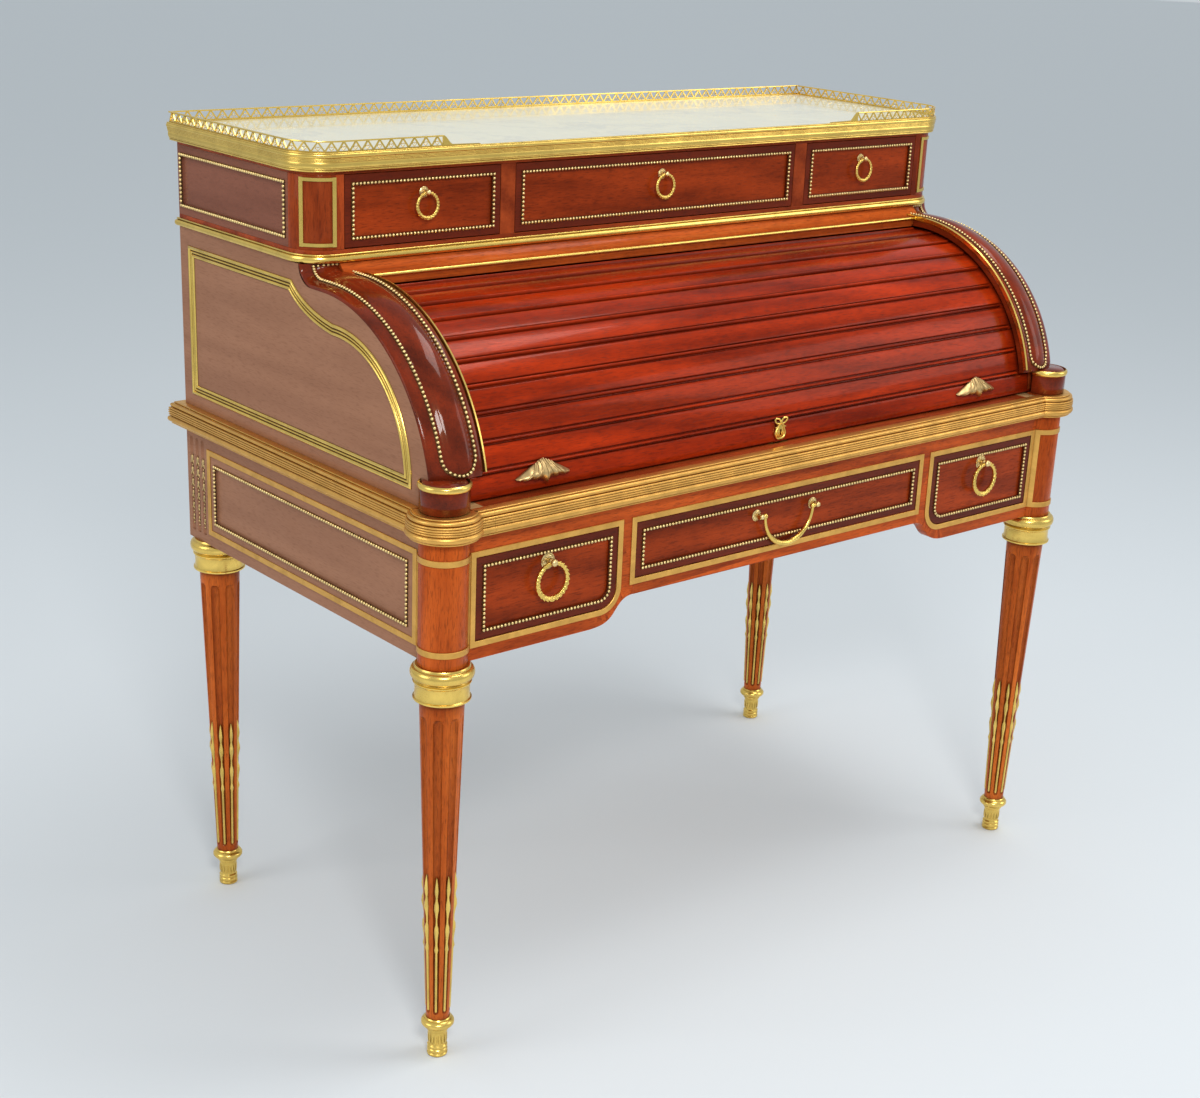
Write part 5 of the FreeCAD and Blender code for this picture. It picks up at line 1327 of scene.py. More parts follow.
def make_tambour():
    """Ten slats and the leading rail, each slat with its thin astragal and dark quirks."""
    reach = high("tambour_slats").x
    work = Work()
    joint = 0.12
    keyway = 9 * MM
    first = slat_section(FIRST_ANGLE, FIRST_ANGLE + RAIL_ANGLE - joint, 0.02)
    for side in (-1, 1):
        carry(work, first, side * keyway, side * reach)
    cover = slat_section(FIRST_ANGLE + 5.3, FIRST_ANGLE + RAIL_ANGLE - joint, 0.0)
    carry(work, cover, -keyway, keyway)
    lip = ((SLAT_RADIUS - 2 * MM, 0.0), (SLAT_RADIUS - 0.5 * MM, 0.2), (SLAT_RADIUS - 0.1 * MM, 3.0),
           (SLAT_RADIUS - 0.1 * MM, 5.7), (SLAT_RADIUS - 2 * MM, 5.7))
    face = [roll_point(radius, FIRST_ANGLE + rise) for radius, rise in lip]
    carry(work, face, -keyway, keyway)
    bead_reach = CHEEK_INSIDE - 3 * MM
    for i in range(SLAT_COUNT):
        a0 = FIRST_ANGLE + RAIL_ANGLE + SLAT_ANGLE * i
        section = slat_section(a0, a0 + SLAT_ANGLE - joint, 1.6)
        carry(work, section, -reach, reach)
        carry(work, astragal_section(a0), -bead_reach, bead_reach)
    work.make("tambour_reeds", "tambour", [stuff("slat wood")], ("tambour_slats",), crease=50)


def rail_face(z):
    """How far forward the tambour's face is at a height."""
    return ROLL.y - math.sqrt(SLAT_RADIUS ** 2 - (z - ROLL.z) ** 2)


def leaf_place(u, v, hollow=0.0):
    """Drooping leaf: u from tip to tip, v from its root on the rail down to the lip."""
    top = 14.0 - 21.0 * abs(u) ** 1.15
    foot = -9.5 - 4.5 * math.exp(-(u / 0.2) ** 2) + 2.6 * abs(math.sin(2.5 * math.pi * u)) * (1 - abs(u))
    fan = math.cos(math.tau * 3.5 * u * (1 - 0.2 * v)) * (0.25 + 0.75 * v) * (1 - abs(u)) ** 0.4
    swell = math.sin(math.pi * (0.08 + 0.72 * v)) * (12.2 * (1 - u * u) ** 0.55 + 0.8)
    return u * 43 * (1 - 0.05 * v), swell + 1.4 * fan - hollow, top + (foot - top) * v


def leaf_handle(work, x, z, side):
    """Hollow leaf grip, thick enough to lift the tambour by, with its midribs."""
    across, down = 56, 14
    skins = []
    for hollow in (0.0, 1.5):
        rows = []
        for i in range(across + 1):
            u = -0.99 + 1.98 * i / across
            row = []
            for j in range(down + 1):
                px, out, up = leaf_place(u, j / down, hollow)
                level = z + up * MM
                row.append((x + side * px * MM, rail_face(level) - max(out, -0.6) * MM, level))
            rows.append(row)
        skins.append(rows)
    work.skin([outer + inner[::-1] for outer, inner in zip(*skins)], around=True, ends=True)
    for k in range(-3, 4):
        line = []
        for j in range(11):
            px, out, up = leaf_place(k * 0.27 * (0.35 + 0.65 * j / 10), j / 10)
            level = z + up * MM
            line.append((x + side * px * MM, rail_face(level) - (out + 0.1) * MM, level))
        tube(work, line, [1.0 * MM * (1 - 0.06 * j) for j in range(11)], 6)


def make_tambour_mounts():
    leaf_low, leaf_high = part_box("tambour_handles")
    x = leaf_high.x - 43 * MM
    z = (leaf_low.z + leaf_high.z) / 2
    work = Work()
    for side in (-1, 1):
        leaf_handle(work, side * x, z, side)
    work.make("leaf_grips", "tambour", [stuff("antique gilding")], ("tambour_handles",),
              crease=70)
    make_escutcheon()


def make_escutcheon():
    """Shield with a keyhole under a ribbon bow."""
    plate_low, plate_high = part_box("tambour_escutcheon")
    y = plate_low.y + 2.4 * MM
    z = (plate_low.z + plate_high.z) / 2 - 2 * MM
    work = Work()
    grown = Matrix.Diagonal((1.22, 1.0, 1.16, 1.0))
    work.place = Matrix.Translation((0, y, z)) @ grown @ Matrix.Translation((0, -y, -z))
    shield = []
    for i in range(28):
        t = math.tau * i / 28
        wide = 8.4 * (1 - 0.16 * math.sin(t)) * math.cos(t) * (1 + 0.05 * math.cos(6 * t))
        shield.append((wide * MM, z + (10.4 * math.sin(t) - 1.2 * math.cos(2 * t)) * MM))
    section = in_mm([(0, -1.5), (0, 0.9), (-0.8, 1.9), (-1.9, 1.7), (-2.4, 1.0), (-5.2, 1.2), (-5.2, -1.5)])
    run(work, shield, section, on_front(y), True)
    key = [(1.9, 2.0), (1.2, 3.4), (0.0, 3.9), (-1.2, 3.4), (-1.9, 2.0), (-1.1, 0.6), (-1.5, -4.0),
           (1.5, -4.0), (1.1, 0.6)]
    rim = in_mm([(0, -1.5), (0, 1.3), (1.4, 1.2), (1.4, -1.5)])
    run(work, [(a * MM, z + b * MM) for a, b in key], rim, on_front(y), True)
    for side in (-1, 1):
        line = []
        for i in range(15):
            t = math.tau * i / 14
            line.append((side * (5.0 - 4.5 * math.cos(t)) * MM, y - 1.0 * MM,
                         z + (12.2 + 3.0 * math.sin(t) + 0.3 * (5.0 - 4.5 * math.cos(t))) * MM))
        tube(work, line, [1.15 * MM] * 15, 8)
        tail = [(side * (0.6 + 7.6 * k / 6) * MM, y - (1.0 + 0.3 * math.sin(k)) * MM,
                 z + (11.0 - 1.0 * k + 1.0 * math.sin(k * 1.3)) * MM) for k in range(7)]
        tube(work, tail, [1.15 * MM * (1 - 0.07 * k) for k in range(7)], 7)
    ball(work, (0, y - 1.0 * MM, z + 12.4 * MM), (1.9 * MM, 1.5 * MM, 1.9 * MM), 12, 8)
    work.make("escutcheon_bow", "tambour", [stuff("bright gilding")], ("tambour_escutcheon",))


# ------------------------------------------------------------------ drawers
def drawer_front(name, body, node, x0, x1, z0, z1, face_y, bead_low, bead_high, corner=0.0, flip=1):
    """A front with a dark border, a sunk figured field and its own edge, cut to the pearl string."""
    work = Work()
    ease = 0.5 * MM
    radii = (corner, 0, 0, 0)
    path = outline(x0, x1, z0, z1, radii, 10)
    inner = 4.2 * MM
    rim_radii = (max(corner - 10 * MM, 0), 0, 0, 0)
    rim = outline(bead_low.x + inner, bead_high.x - inner, bead_low.z + inner, bead_high.z - inner,
                  rim_radii, 10)
    outer_rows = []
    for (a, b), n, (c, d) in zip(path, outward(path, True), rim):
        lip = (a - n.x * ease, b - n.y * ease)
        outer_rows.append([(a, face_y + FRONT_BOARD, b), (a, face_y + ease, b), (lip[0], face_y, lip[1]),
                           (c, face_y, d), (c, face_y + SUNK, d)])
    work.skin(outer_rows, along=True, finish=0)
    work.add([(a, face_y + SUNK, b) for a, b in rim], [list(range(len(rim)))], 1)
    work.add([(a, face_y + FRONT_BOARD, b) for a, b in path], [list(range(len(path)))], 0)
    if flip < 0:
        work.points = [Vector((-p.x, p.y, p.z)) for p in work.points]
    return work.make(name, body, [stuff("plum across"), stuff("field across")], (node,))


def drawer_box(name, body, x0, x1, y0, y1, z0, z1, side=DRAWER_SIDE, floor_lift=FLOOR_LIFT):
    """Oak sides, back and bottom, joined with dovetails at the corners."""
    work = Work()
    for xa, xb in ((x0, x0 + side), (x1 - side, x1)):
        work.block(xa, xb, y0, y1, z0, z1)
    work.block(x0 + side, x1 - side, y1 - side, y1, z0, z1 - 3 * MM)
    work.block(x0 + side, x1 - side, y0, y1 - side, z0 + floor_lift, z0 + floor_lift + 5 * MM)
    tails = max(int((z1 - z0) / (16 * MM)), 2)
    pitch = (z1 - z0) / tails
    for x in (x0, x1):
        for i in range(tails):
            z = z0 + pitch * (i + 0.5)
            for start, end in ((y0, y0 + side), (y1 - side, y1)):
                wide, slim = pitch * 0.34, pitch * 0.22
                first, last = (slim, wide) if start == y0 else (wide, slim)
                out = 0.12 * MM if x == x1 else -0.12 * MM
                corners = ((start, -first), (end, -last), (end, last), (start, first))
                points = [(x + d, y, z + w) for d in (-out, out) for y, w in corners]
                faces = [[0, 1, 2, 3], [4, 5, 6, 7], [0, 1, 5, 4], [1, 2, 6, 5], [2, 3, 7, 6], [3, 0, 4, 7]]
                work.add(points, faces, 1)
    return work.make(name, body, [stuff("oak deep"), stuff("oak across")], soften=0.4 * MM)


def pearl_frame(name, body, node, face_y, radius=0.0, flip=1, extra=None):
    """The pearl string of one drawer, with any rosettes, in place of its brass."""
    bead_low, bead_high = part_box(node)
    x0, x1 = (bead_low.x, bead_high.x) if flip > 0 else (-bead_high.x, -bead_low.x)
    half_strip = 2 * MM
    work = Work()
    path = outline(x0 + half_strip, x1 - half_strip, bead_low.z + half_strip, bead_high.z - half_strip,
                   (radius, 0, 0, 0), 10)
    pearls(work, path, on_front(face_y))
    if extra:
        extra(work)
    if flip < 0:
        work.points = [Vector((-p.x, p.y, p.z)) for p in work.points]
    return work.make(name, body, pearl_finishes(), (node,))


def rosette(work, x, y, z, radius, pivot_y, bar):
    """Round boss: a stepped plate, a ring of petals and the knob that holds the pull."""
    work.place = Matrix.Translation((x, y, z)) @ Matrix.Rotation(math.pi / 2, 4, "X")
    plate = [(0, -0.5 * MM), (radius, -0.5 * MM), (radius, 0.8 * MM), (radius * 0.9, 1.3 * MM),
             (radius * 0.82, 1.0 * MM), (radius * 0.5, 2.4 * MM), (0, 2.6 * MM)]
    turned(work, plate, 0, 0, 32)
    for i in range(12):
        a = math.tau * i / 12
        ball(work, (radius * 0.66 * math.cos(a), radius * 0.66 * math.sin(a), 1.3 * MM),
             (radius * 0.2, radius * 0.13, 1.1 * MM), 8, 5, Matrix.Rotation(a, 3, "Z"))
    work.place = Matrix.Identity(4)
    reach = y - pivot_y
    ball(work, (x, pivot_y + reach * 0.45, z), (bar * 1.25, reach * 0.55, bar * 1.5), 14, 8)
    ball(work, (x, pivot_y - bar * 0.9, z + bar * 0.3), (bar * 1.45, bar * 1.3, bar * 1.45), 16, 10)


def leaf(work, spot, lean, out, size):
    """A small laurel leaf lying along lean, its face turned out."""
    flat = lean.cross(out).normalized()
    ball(work, spot, size, 8, 5, Matrix((lean, flat, lean.cross(flat))).transposed())


def wreath(work, centre, radius, bar):
    """Laurel ring: leaves in threes, overlapping, stouter towards the bottom."""
    count = 26
    line, radii = [], []
    for i in range(64):
        a = math.tau * i / 64
        line.append((centre.x + radius * math.sin(a), centre.y, centre.z + radius * math.cos(a)))
        radii.append(bar * (0.62 + 0.14 * (1 - math.cos(a)) / 2))
    tube(work, line, radii, 12, closed=True)
    for i in range(count):
        a = math.tau * (i + 0.5) / count
        side = 1 if a < math.pi else -1
        swell = 0.78 + 0.22 * (1 - math.cos(a)) / 2
        radial = Vector((math.sin(a), 0, math.cos(a)))
        along = Vector((math.cos(a), 0, -math.sin(a))) * side
        for spread in (-1, 0, 1):
            out = (radial * spread * 0.75 + Vector((0, -1, 0)) * (1 - 0.35 * abs(spread))).normalized()
            lean = (along + out * 0.22 + radial * spread * 0.25).normalized()
            spot = centre + radial * radius + out * bar * 0.52 * swell + along * bar * 0.2 * (spread == 0)
            length = math.tau * radius / count
            leaf(work, spot, lean, out, (length * 0.72, bar * 0.36 * swell, bar * 0.34 * swell))


def ring_pivot(node):
    """Where a ring hangs from, and half the thickness of its bar."""
    ring_low, ring_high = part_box(node)
    bar = (ring_high.y - ring_low.y) / 2
    return Vector(((ring_low.x + ring_high.x) / 2, (ring_low.y + ring_high.y) / 2, ring_high.z - bar)), bar


def make_ring(name, body, node):
    ring_low, ring_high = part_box(node)
    bar = (ring_high.y - ring_low.y) / 2
    radius = (ring_high.x - ring_low.x) / 2 - bar
    work = Work()
    wreath(work, (ring_low + ring_high) / 2, radius, bar * 1.25)
    work.make(name, body, [stuff("bright gilding")], (node,))


def make_bail():
    """Swagged bail: slim at its ends, leafy and stout in the middle, on two short pivots."""
    bail_low, bail_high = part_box("drawer_centre_bail")
    y = (bail_low.y + bail_high.y) / 2
    bar = (bail_high.y - bail_low.y) / 2
    pivot_z = bail_high.z - bar
    radius = pivot_z - bail_low.z - bar
    leafy = bar * 1.2
    work = Work()
    line, radii = [], []
    for i in range(41):
        a = math.pi * i / 40
        line.append((-radius * math.cos(a), y, pivot_z - radius * math.sin(a)))
        radii.append(leafy * (0.48 + 0.34 * math.sin(a) ** 2))
    tube(work, line, radii, 12)
    for i in range(34):
        a = math.pi * (i + 0.5) / 34
        swell = 0.45 + 0.5 * math.sin(a) ** 2
        radial = Vector((-math.cos(a), 0, -math.sin(a)))
        along = Vector((math.sin(a), 0, -math.cos(a))) * (1 if a < math.pi / 2 else -1)
        for spread in (-1, 0, 1):
            out = (radial * spread * 0.8 + Vector((0, -1, 0)) * (1 - 0.3 * abs(spread))).normalized()
            lean = (along + out * 0.25).normalized()
            spot = Vector((0, y, pivot_z)) + radial * radius + out * leafy * 0.55 * swell
            leaf(work, spot, lean, out, (3.1 * MM, leafy * 0.4 * swell, leafy * 0.34 * swell))
    for side in (-1, 1):
        ball(work, (side * radius, y, pivot_z), (bar, bar, bar), 14, 8)
        pin = [(side * radius, y, pivot_z), (side * (bail_high.x - 0.2 * MM), y, pivot_z)]
        tube(work, pin, [2.9 * MM] * 2, 14)
        ball(work, (side * bail_high.x - side * 1.4 * MM, y, pivot_z), (1.4 * MM, 3.6 * MM, 3.6 * MM),
             12, 6)
    work.make("centre_bail", "drawer_centre_bail", [stuff("bright gilding")],
              ("drawer_centre_bail",))


BOX_RISE = 7 * MM
BOX_DROP = 13 * MM


def make_frieze_drawers():
    for side, turn in (("right", 1), ("left", -1)):
        name = "drawer_" + side
        base_low, base_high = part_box("drawer_right")
        bead_low, bead_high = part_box("drawer_right_brass")
        z0, z1 = FLAT_BOTTOM + FLAT_WIDTH + DRAWER_GAP, FLAT_TOP - FLAT_WIDTH - DRAWER_GAP
        drawer_front(name + "_front", name, name, base_low.x, base_high.x, z0, z1, FRONT, bead_low,
                     bead_high, DRAWER_CORNER - DRAWER_GAP, turn)
        x0, x1 = base_low.x + 13.2 * MM, base_high.x - 1.2 * MM
        if turn < 0:
            x0, x1 = -x1, -x0
        drawer_box(name + "_box", name, x0, x1, FRONT + FRONT_BOARD, base_high.y, z0 + BOX_RISE,
                   z1 - BOX_DROP)
        pivot, bar = ring_pivot("drawer_right_ring")
        pearl_frame(name + "_pearls", name, name + "_brass", FRONT, 16.5 * MM, turn,
                    lambda work: rosette(work, pivot.x, FRONT + SUNK, pivot.z, 10.6 * MM, pivot.y, bar))
        make_ring(name + "_wreath", name + "_ring", name + "_ring")
    base_low, base_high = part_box("drawer_centre")
    bead_low, bead_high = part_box("drawer_centre_brass")
    drawer_front("drawer_centre_front", "drawer_centre", "drawer_centre", base_low.x, base_high.x,
                 base_low.z, base_high.z, FRONT, bead_low, bead_high)
    drawer_box("drawer_centre_box", "drawer_centre", base_low.x + 3.2 * MM, base_high.x - 3.2 * MM,
               FRONT + FRONT_BOARD, base_high.y, base_low.z + BOX_RISE, base_high.z - BOX_DROP)
    bail_low, bail_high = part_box("drawer_centre_bail")
    y, z = (bail_low.y + bail_high.y) / 2, bail_high.z - 4 * MM

    def bail_bosses(work):
        for side in (-1, 1):
            rosette(work, side * 54 * MM, FRONT + SUNK, z, 8 * MM, y, 2.6 * MM)

    pearl_frame("drawer_centre_pearls", "drawer_centre", "drawer_centre_brass", FRONT, extra=bail_bosses)
    make_bail()


def make_upper_drawers():
    for side in ("left", "centre", "right"):
        name = "upper_drawer_" + side
        base_low, base_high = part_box(name)
        bead_low, bead_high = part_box(name + "_brass")
        drawer_front(name + "_front", name, name, base_low.x, base_high.x, base_low.z + DRAWER_GAP,
                     base_high.z, UPPER_FRONT, bead_low, bead_high)
        drawer_box(name + "_box", name, base_low.x + 1.2 * MM, base_high.x - 1.2 * MM,
                   UPPER_FRONT + FRONT_BOARD, base_high.y, base_low.z, base_high.z - 12 * MM)
        pivot, bar = ring_pivot(name + "_ring")
        sunk_face = UPPER_FRONT + SUNK
        pearl_frame(name + "_pearls", name, name + "_brass", UPPER_FRONT,
                    extra=lambda work: rosette(work, pivot.x, sunk_face, pivot.z, 7.2 * MM, pivot.y, bar))
        make_ring(name + "_wreath", name + "_ring", name + "_ring")


# ------------------------------------------------------------------ fitted interior
def make_small_drawers():
    """Three little drawers under the pigeonholes, each with a turned brass knob."""
    for side in ("left", "centre", "right"):
        name = "small_drawer_" + side
        base_low, base_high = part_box(name)
        face_y = base_low.y + 15 * MM
        work = Work()
        path = outline(base_low.x, base_high.x, base_low.z, base_high.z)
        section = in_mm([(0, -8), (0, 0), (-0.6, 0.7), (-1.6, 0.7), (-2.2, 0), (-2.2, -8)])
        run(work, path, section, on_front(face_y), True)
        work.block(base_low.x + 1 * MM, base_high.x - 1 * MM, face_y + 0.3 * MM, face_y + 8 * MM,
                   base_low.z + 1 * MM, base_high.z - 1 * MM, 1)
        work.make(name + "_front", name, [stuff("plum across"), stuff("mahogany across")],
                  (name,))
        drawer_box(name + "_box", name, base_low.x + 1 * MM, base_high.x - 1 * MM, face_y + 8 * MM,
                   base_high.y, base_low.z, base_high.z - 5 * MM, 5 * MM, 3 * MM)
        knob = Work()
        x, z = (base_low.x + base_high.x) / 2, (base_low.z + base_high.z) / 2
        knob.place = Matrix.Translation((x, face_y, z)) @ Matrix.Rotation(math.pi / 2, 4, "X")
        stem = in_mm([(0, -1), (4.6, -1), (4.6, 0.5), (3.8, 1.4), (2.4, 2.2), (2.2, 4.4), (3.2, 5.6),
                      (5.4, 7.4), (6.0, 9.6), (5.4, 12.0), (3.6, 13.9), (1.6, 14.8), (0, 15.0)])
        turned(knob, stem, 0, 0, 28)
        knob.make(name + "_knob", name, [stuff("bright gilding")])


# ------------------------------------------------------------------ studio
def make_studio():
    """Pale floor, soft boxes and the camera."""
    settings = bpy.context.scene.desk_studio
    work = Work()
    rows = [[(0, 0, 0)] * 48]
    for reach in (0.5, 1, 2, 4, 8, 16, 32):
        rows.append([(reach * math.cos(math.tau * i / 48), reach * math.sin(math.tau * i / 48), 0)
                     for i in range(48)])
    work.skin(rows, around=True)
    mesh = bpy.data.meshes.new("floor")
    mesh.from_pydata([p[:] for p in work.points], [], work.faces)
    floor = bpy.data.objects.new("floor", mesh)
    bpy.context.scene.collection.objects.link(floor)
    material, tree, shader = new_material("floor paint", Roughness=0.75)
    cloud = wire(tree, "ShaderNodeTexNoise", {"Scale": 2.0, "Detail": 3.0}).outputs["Fac"]
    paint = tuple(settings.floor)
    shade = blend_colour(tree, cloud, (*paint, 1), (*(c * 0.98 for c in paint), 1))
    tree.links.new(shade, shader.inputs["Base Color"])
    mesh.materials.append(material)
    world = bpy.data.worlds.new("studio air")
    bpy.context.scene.world = world
    world.use_nodes = True
    backdrop = world.node_tree.nodes["Background"]
    backdrop.inputs[0].default_value = (*settings.air, 1)
    backdrop.inputs[1].default_value = settings.air_strength
    boxes = (
        ("key box", (-2.0, -3.0, 2.9), (0.0, 0.0, 0.7), 0.9, 0.7, settings.key_strength),
        ("side box", (-3.8, 0.6, 2.2), (-0.4, 0.0, 0.7), 1.8, 2.2, settings.side_strength),
        ("top box", (0.9, -0.6, 3.4), (0.0, 0.0, 0.8), 1.6, 0.9, settings.top_strength),
        ("right box", (3.0, -2.4, 2.2), (0.2, 0.0, 0.8), 1.6, 2.0, settings.key_strength * 0.35),
    )
    for name, place, aim, width, height, power in boxes:
        light = bpy.data.lights.new(name, "AREA")
        light.shape = "RECTANGLE"
        light.size, light.size_y, light.energy = width, height, power
        lamp = bpy.data.objects.new(name, light)
        lamp.location = place
        lamp.rotation_euler = (Vector(aim) - Vector(place)).to_track_quat("-Z", "Y").to_euler()
        lamp.visible_camera = False
        bpy.context.scene.collection.objects.link(lamp)
    make_camera(settings)
    bpy.context.scene.view_settings.view_transform = "Standard"


def make_camera(settings):
    lens = bpy.data.cameras.new("camera")
    lens.lens = settings.lens
    lens.shift_x, lens.shift_y = settings.shift_across, settings.shift_up
    camera = bpy.data.objects.new("camera", lens)
    bpy.context.scene.collection.objects.link(camera)
    az, el, roll = settings.camera_turn, settings.camera_tilt, settings.camera_roll
    forward = Vector((math.sin(az) * math.cos(el), math.cos(az) * math.cos(el), math.sin(el)))
    right = Vector((math.cos(az), -math.sin(az), 0))
    up = right.cross(forward)
    across = right * math.cos(roll) + up * math.sin(roll)
    upright = up * math.cos(roll) - right * math.sin(roll)
    turn = Matrix((across, upright, -forward)).transposed().to_4x4()
    camera.matrix_world = Matrix.Translation(settings.camera_place) @ turn
    bpy.context.scene.camera = camera


# ------------------------------------------------------------------ settings
def colour_property(name, description, value):
    return bpy.props.FloatVectorProperty(name=name, description=description, default=value, size=3,
                                         subtype="COLOR", min=0.0, max=1.0)


def length_property(name, description, value):
    return bpy.props.FloatProperty(name=name, description=description, default=value, unit="LENGTH",
                                   subtype="DISTANCE", min=0.0)


class DeskFinishes(bpy.types.PropertyGroup):
    """Colours of the desk's woods, brass, marble and leather."""

    mahogany: colour_property("Mahogany", "Pale streaks of the polished mahogany", (0.46, 0.075, 0.016))
    mahogany_dark: colour_property("Dark mahogany", "Dark streaks of the mahogany", (0.15, 0.017, 0.004))
    # painted reflection: a paler, greyer mahogany for the sides, standing in for the bright room reflected
    # in their polish
    side_reflection_colour: colour_property("Side reflection", "Sides' mahogany with the bright room's reflection painted in", (0.43, 0.20, 0.112))
    gilding: colour_property("Gilding", "Clean gilt brass", (0.97, 0.66, 0.16))
    marble: colour_property("Marble", "Ground of the marble top", (0.88, 0.81, 0.56))
    leather: colour_property("Leather", "Hide on the writing slide", (0.035, 0.085, 0.045))


class DeskTrim(bpy.types.PropertyGroup):
    """Sizes of the repeated brass trim."""

    pearl_size: length_property("Pearl size", "Diameter of one pearl", 4.3 * MM)
    pearl_pitch: length_property("Pearl pitch", "Distance from pearl to pearl", 5.5 * MM)
    gallery_pitch: length_property("Gallery bay", "Width of one zigzag bay of the gallery", 17.5 * MM)


class DeskStudio(bpy.types.PropertyGroup):
    """Camera, floor and lights."""

    lens: bpy.props.FloatProperty(name="Lens", description="Focal length", default=58.55, unit="CAMERA")
    shift_across: bpy.props.FloatProperty(name="Shift across", description="Lens shift sideways",
                                          default=-0.0144)
    shift_up: bpy.props.FloatProperty(name="Shift up", description="Lens shift upwards", default=0.0451)
    camera_place: bpy.props.FloatVectorProperty(name="Camera place", description="Where the camera stands",
                                                default=(-1.8642, -2.0949, 1.4669), subtype="TRANSLATION")
    camera_turn: bpy.props.FloatProperty(name="Turn", description="Compass turn of the camera",
                                         default=math.radians(41.065), subtype="ANGLE")
    camera_tilt: bpy.props.FloatProperty(name="Tilt", description="Tilt of the camera above the level",
                                         default=math.radians(-20.319), subtype="ANGLE")
    camera_roll: bpy.props.FloatProperty(name="Roll", description="Roll of the camera",
                                         default=math.radians(2.667), subtype="ANGLE")
    floor: colour_property("Floor", "Colour of the studio floor", (0.74, 0.77, 0.79))
    air: colour_property("Air", "Colour of the light from all round", (0.80, 0.86, 0.90))
    air_strength: bpy.props.FloatProperty(name="Air strength", description="Light from all round",
                                          default=0.72)
    key_strength: bpy.props.FloatProperty(name="Key", description="Power of the key light", default=62.0,
                                          unit="POWER")
    side_strength: bpy.props.FloatProperty(name="Side", description="Power of the side light", default=26.0,
                                           unit="POWER")
    top_strength: bpy.props.FloatProperty(name="Top", description="Power of the top light", default=30.0,
                                          unit="POWER")


# ------------------------------------------------------------------ operators
class BuildStudio(bpy.types.Operator):
    """Lay the floor, hang the soft boxes and set the camera."""

    bl_idname = "desk.build_studio"
    bl_label = "Studio"

    def execute(self, context):
        make_studio()
        return {"FINISHED"}


class PolishBoards(bpy.types.Operator):
    """Finish the case boards, the marble, the leather and the canvas."""

    bl_idname = "desk.polish_boards"
    bl_label = "Case boards"

    def execute(self, context):
        finish_boards()
        return {"FINISHED"}


class BuildLegs(bpy.types.Operator):
    """Flute the four legs and fill the flutes with gilt husks."""

    bl_idname = "desk.build_legs"
    bl_label = "Legs and husks"

    def execute(self, context):
        make_legs()
        make_husks()
        return {"FINISHED"}


class BuildLegMounts(bpy.types.Operator):
    """Turn the gilt collars and sabots."""

    bl_idname = "desk.build_leg_mounts"
    bl_label = "Collars and sabots"

    def execute(self, context):
        make_leg_mounts()
        return {"FINISHED"}


class BuildFlatFrames(bpy.types.Operator):
    """Fit the brass frames on the frieze, the columns and the side panels."""

    bl_idname = "desk.build_flat_frames"
    bl_label = "Brass frames"

    def execute(self, context):
        make_flat_frames()
        make_panel_frames()
        return {"FINISHED"}


class BuildMouldings(bpy.types.Operator):
    """Run the reeded table edge, the belt and the cornice."""

    bl_idname = "desk.build_mouldings"
    bl_label = "Reeded mouldings"

    def execute(self, context):
        make_table_moulding()
        make_upper_mouldings()
        return {"FINISHED"}


class BuildGallery(bpy.types.Operator):
    """Pierce and bend the gallery round the marble."""

    bl_idname = "desk.build_gallery"
    bl_label = "Gallery"

    def execute(self, context):
        make_gallery()
        return {"FINISHED"}


class BuildScrolls(bpy.types.Operator):
    """Shape the scrolls over the roll's sides and string their pearls."""

    bl_idname = "desk.build_scrolls"
    bl_label = "Scrolls and pearl strings"

    def execute(self, context):
        place, whole = make_scrolls()
        make_pearls(place, whole)
        return {"FINISHED"}


class BuildTambour(bpy.types.Operator):
    """Lay up the tambour's slats and fit its leaf grips and escutcheon."""

    bl_idname = "desk.build_tambour"
    bl_label = "Tambour"

    def execute(self, context):
        make_tambour()
        make_tambour_mounts()
        return {"FINISHED"}


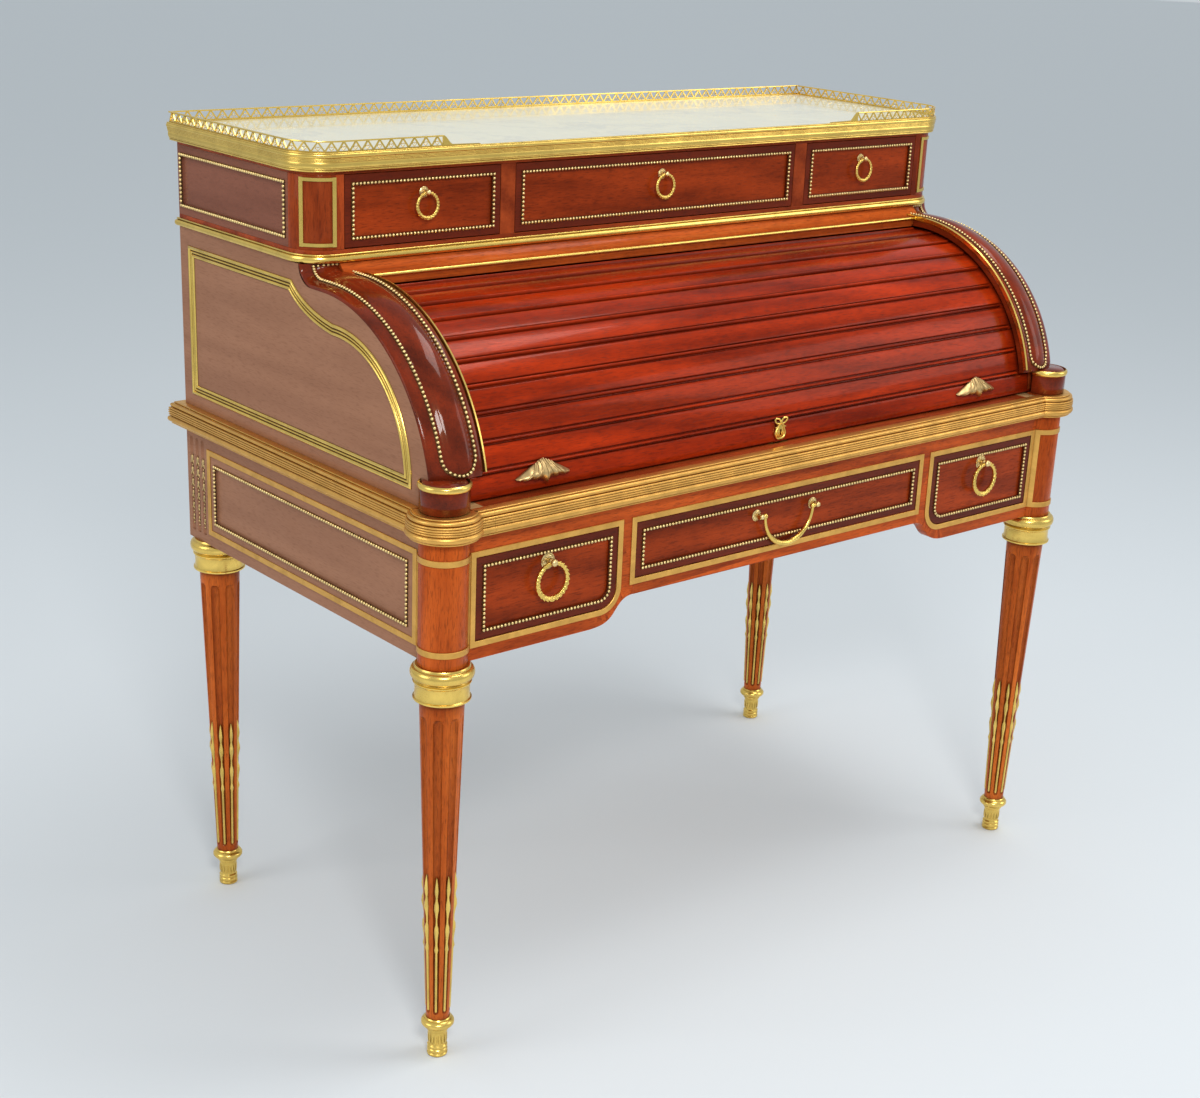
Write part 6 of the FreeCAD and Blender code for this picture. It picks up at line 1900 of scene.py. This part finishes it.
class BuildFriezeDrawers(bpy.types.Operator):
    """Make the three frieze drawers with their pearls and pulls."""

    bl_idname = "desk.build_frieze_drawers"
    bl_label = "Frieze drawers"

    def execute(self, context):
        make_frieze_drawers()
        return {"FINISHED"}


class BuildUpperDrawers(bpy.types.Operator):
    """Make the three upper drawers with their pearls and ring pulls."""

    bl_idname = "desk.build_upper_drawers"
    bl_label = "Upper drawers"

    def execute(self, context):
        make_upper_drawers()
        return {"FINISHED"}


class BuildSmallDrawers(bpy.types.Operator):
    """Make the small drawers of the fitted interior."""

    bl_idname = "desk.build_small_drawers"
    bl_label = "Interior drawers"

    def execute(self, context):
        make_small_drawers()
        return {"FINISHED"}


STEPS = (BuildStudio, PolishBoards, BuildLegs, BuildLegMounts, BuildFlatFrames, BuildMouldings, BuildGallery,
         BuildScrolls, BuildTambour, BuildFriezeDrawers, BuildUpperDrawers, BuildSmallDrawers)


class DeskPanel(bpy.types.Panel):
    """The desk's settings and the steps that build it."""

    bl_idname = "VIEW3D_PT_cylinder_desk"
    bl_label = "Cylinder Desk"
    bl_space_type = "VIEW_3D"
    bl_region_type = "UI"
    bl_category = "Cylinder Desk"

    def draw(self, context):
        for settings in (context.scene.desk_finishes, context.scene.desk_trim, context.scene.desk_studio):
            box = self.layout.box()
            for key in settings.bl_rna.properties.keys():
                if key not in ("rna_type", "name"):
                    box.prop(settings, key)
        for step in STEPS:
            self.layout.operator(step.bl_idname)


SETTINGS = (DeskFinishes, DeskTrim, DeskStudio)


def register():
    for kind in (*SETTINGS, *STEPS, DeskPanel):
        bpy.utils.register_class(kind)
    bpy.types.Scene.desk_finishes = bpy.props.PointerProperty(type=DeskFinishes)
    bpy.types.Scene.desk_trim = bpy.props.PointerProperty(type=DeskTrim)
    bpy.types.Scene.desk_studio = bpy.props.PointerProperty(type=DeskStudio)


def unregister():
    del bpy.types.Scene.desk_finishes
    del bpy.types.Scene.desk_trim
    del bpy.types.Scene.desk_studio
    for kind in (DeskPanel, *reversed(STEPS), *reversed(SETTINGS)):
        bpy.utils.unregister_class(kind)


def main():
    register()
    for step in STEPS:
        family, name = step.bl_idname.split(".")
        getattr(getattr(bpy.ops, family), name)()


if __name__ == "__main__":
    main()
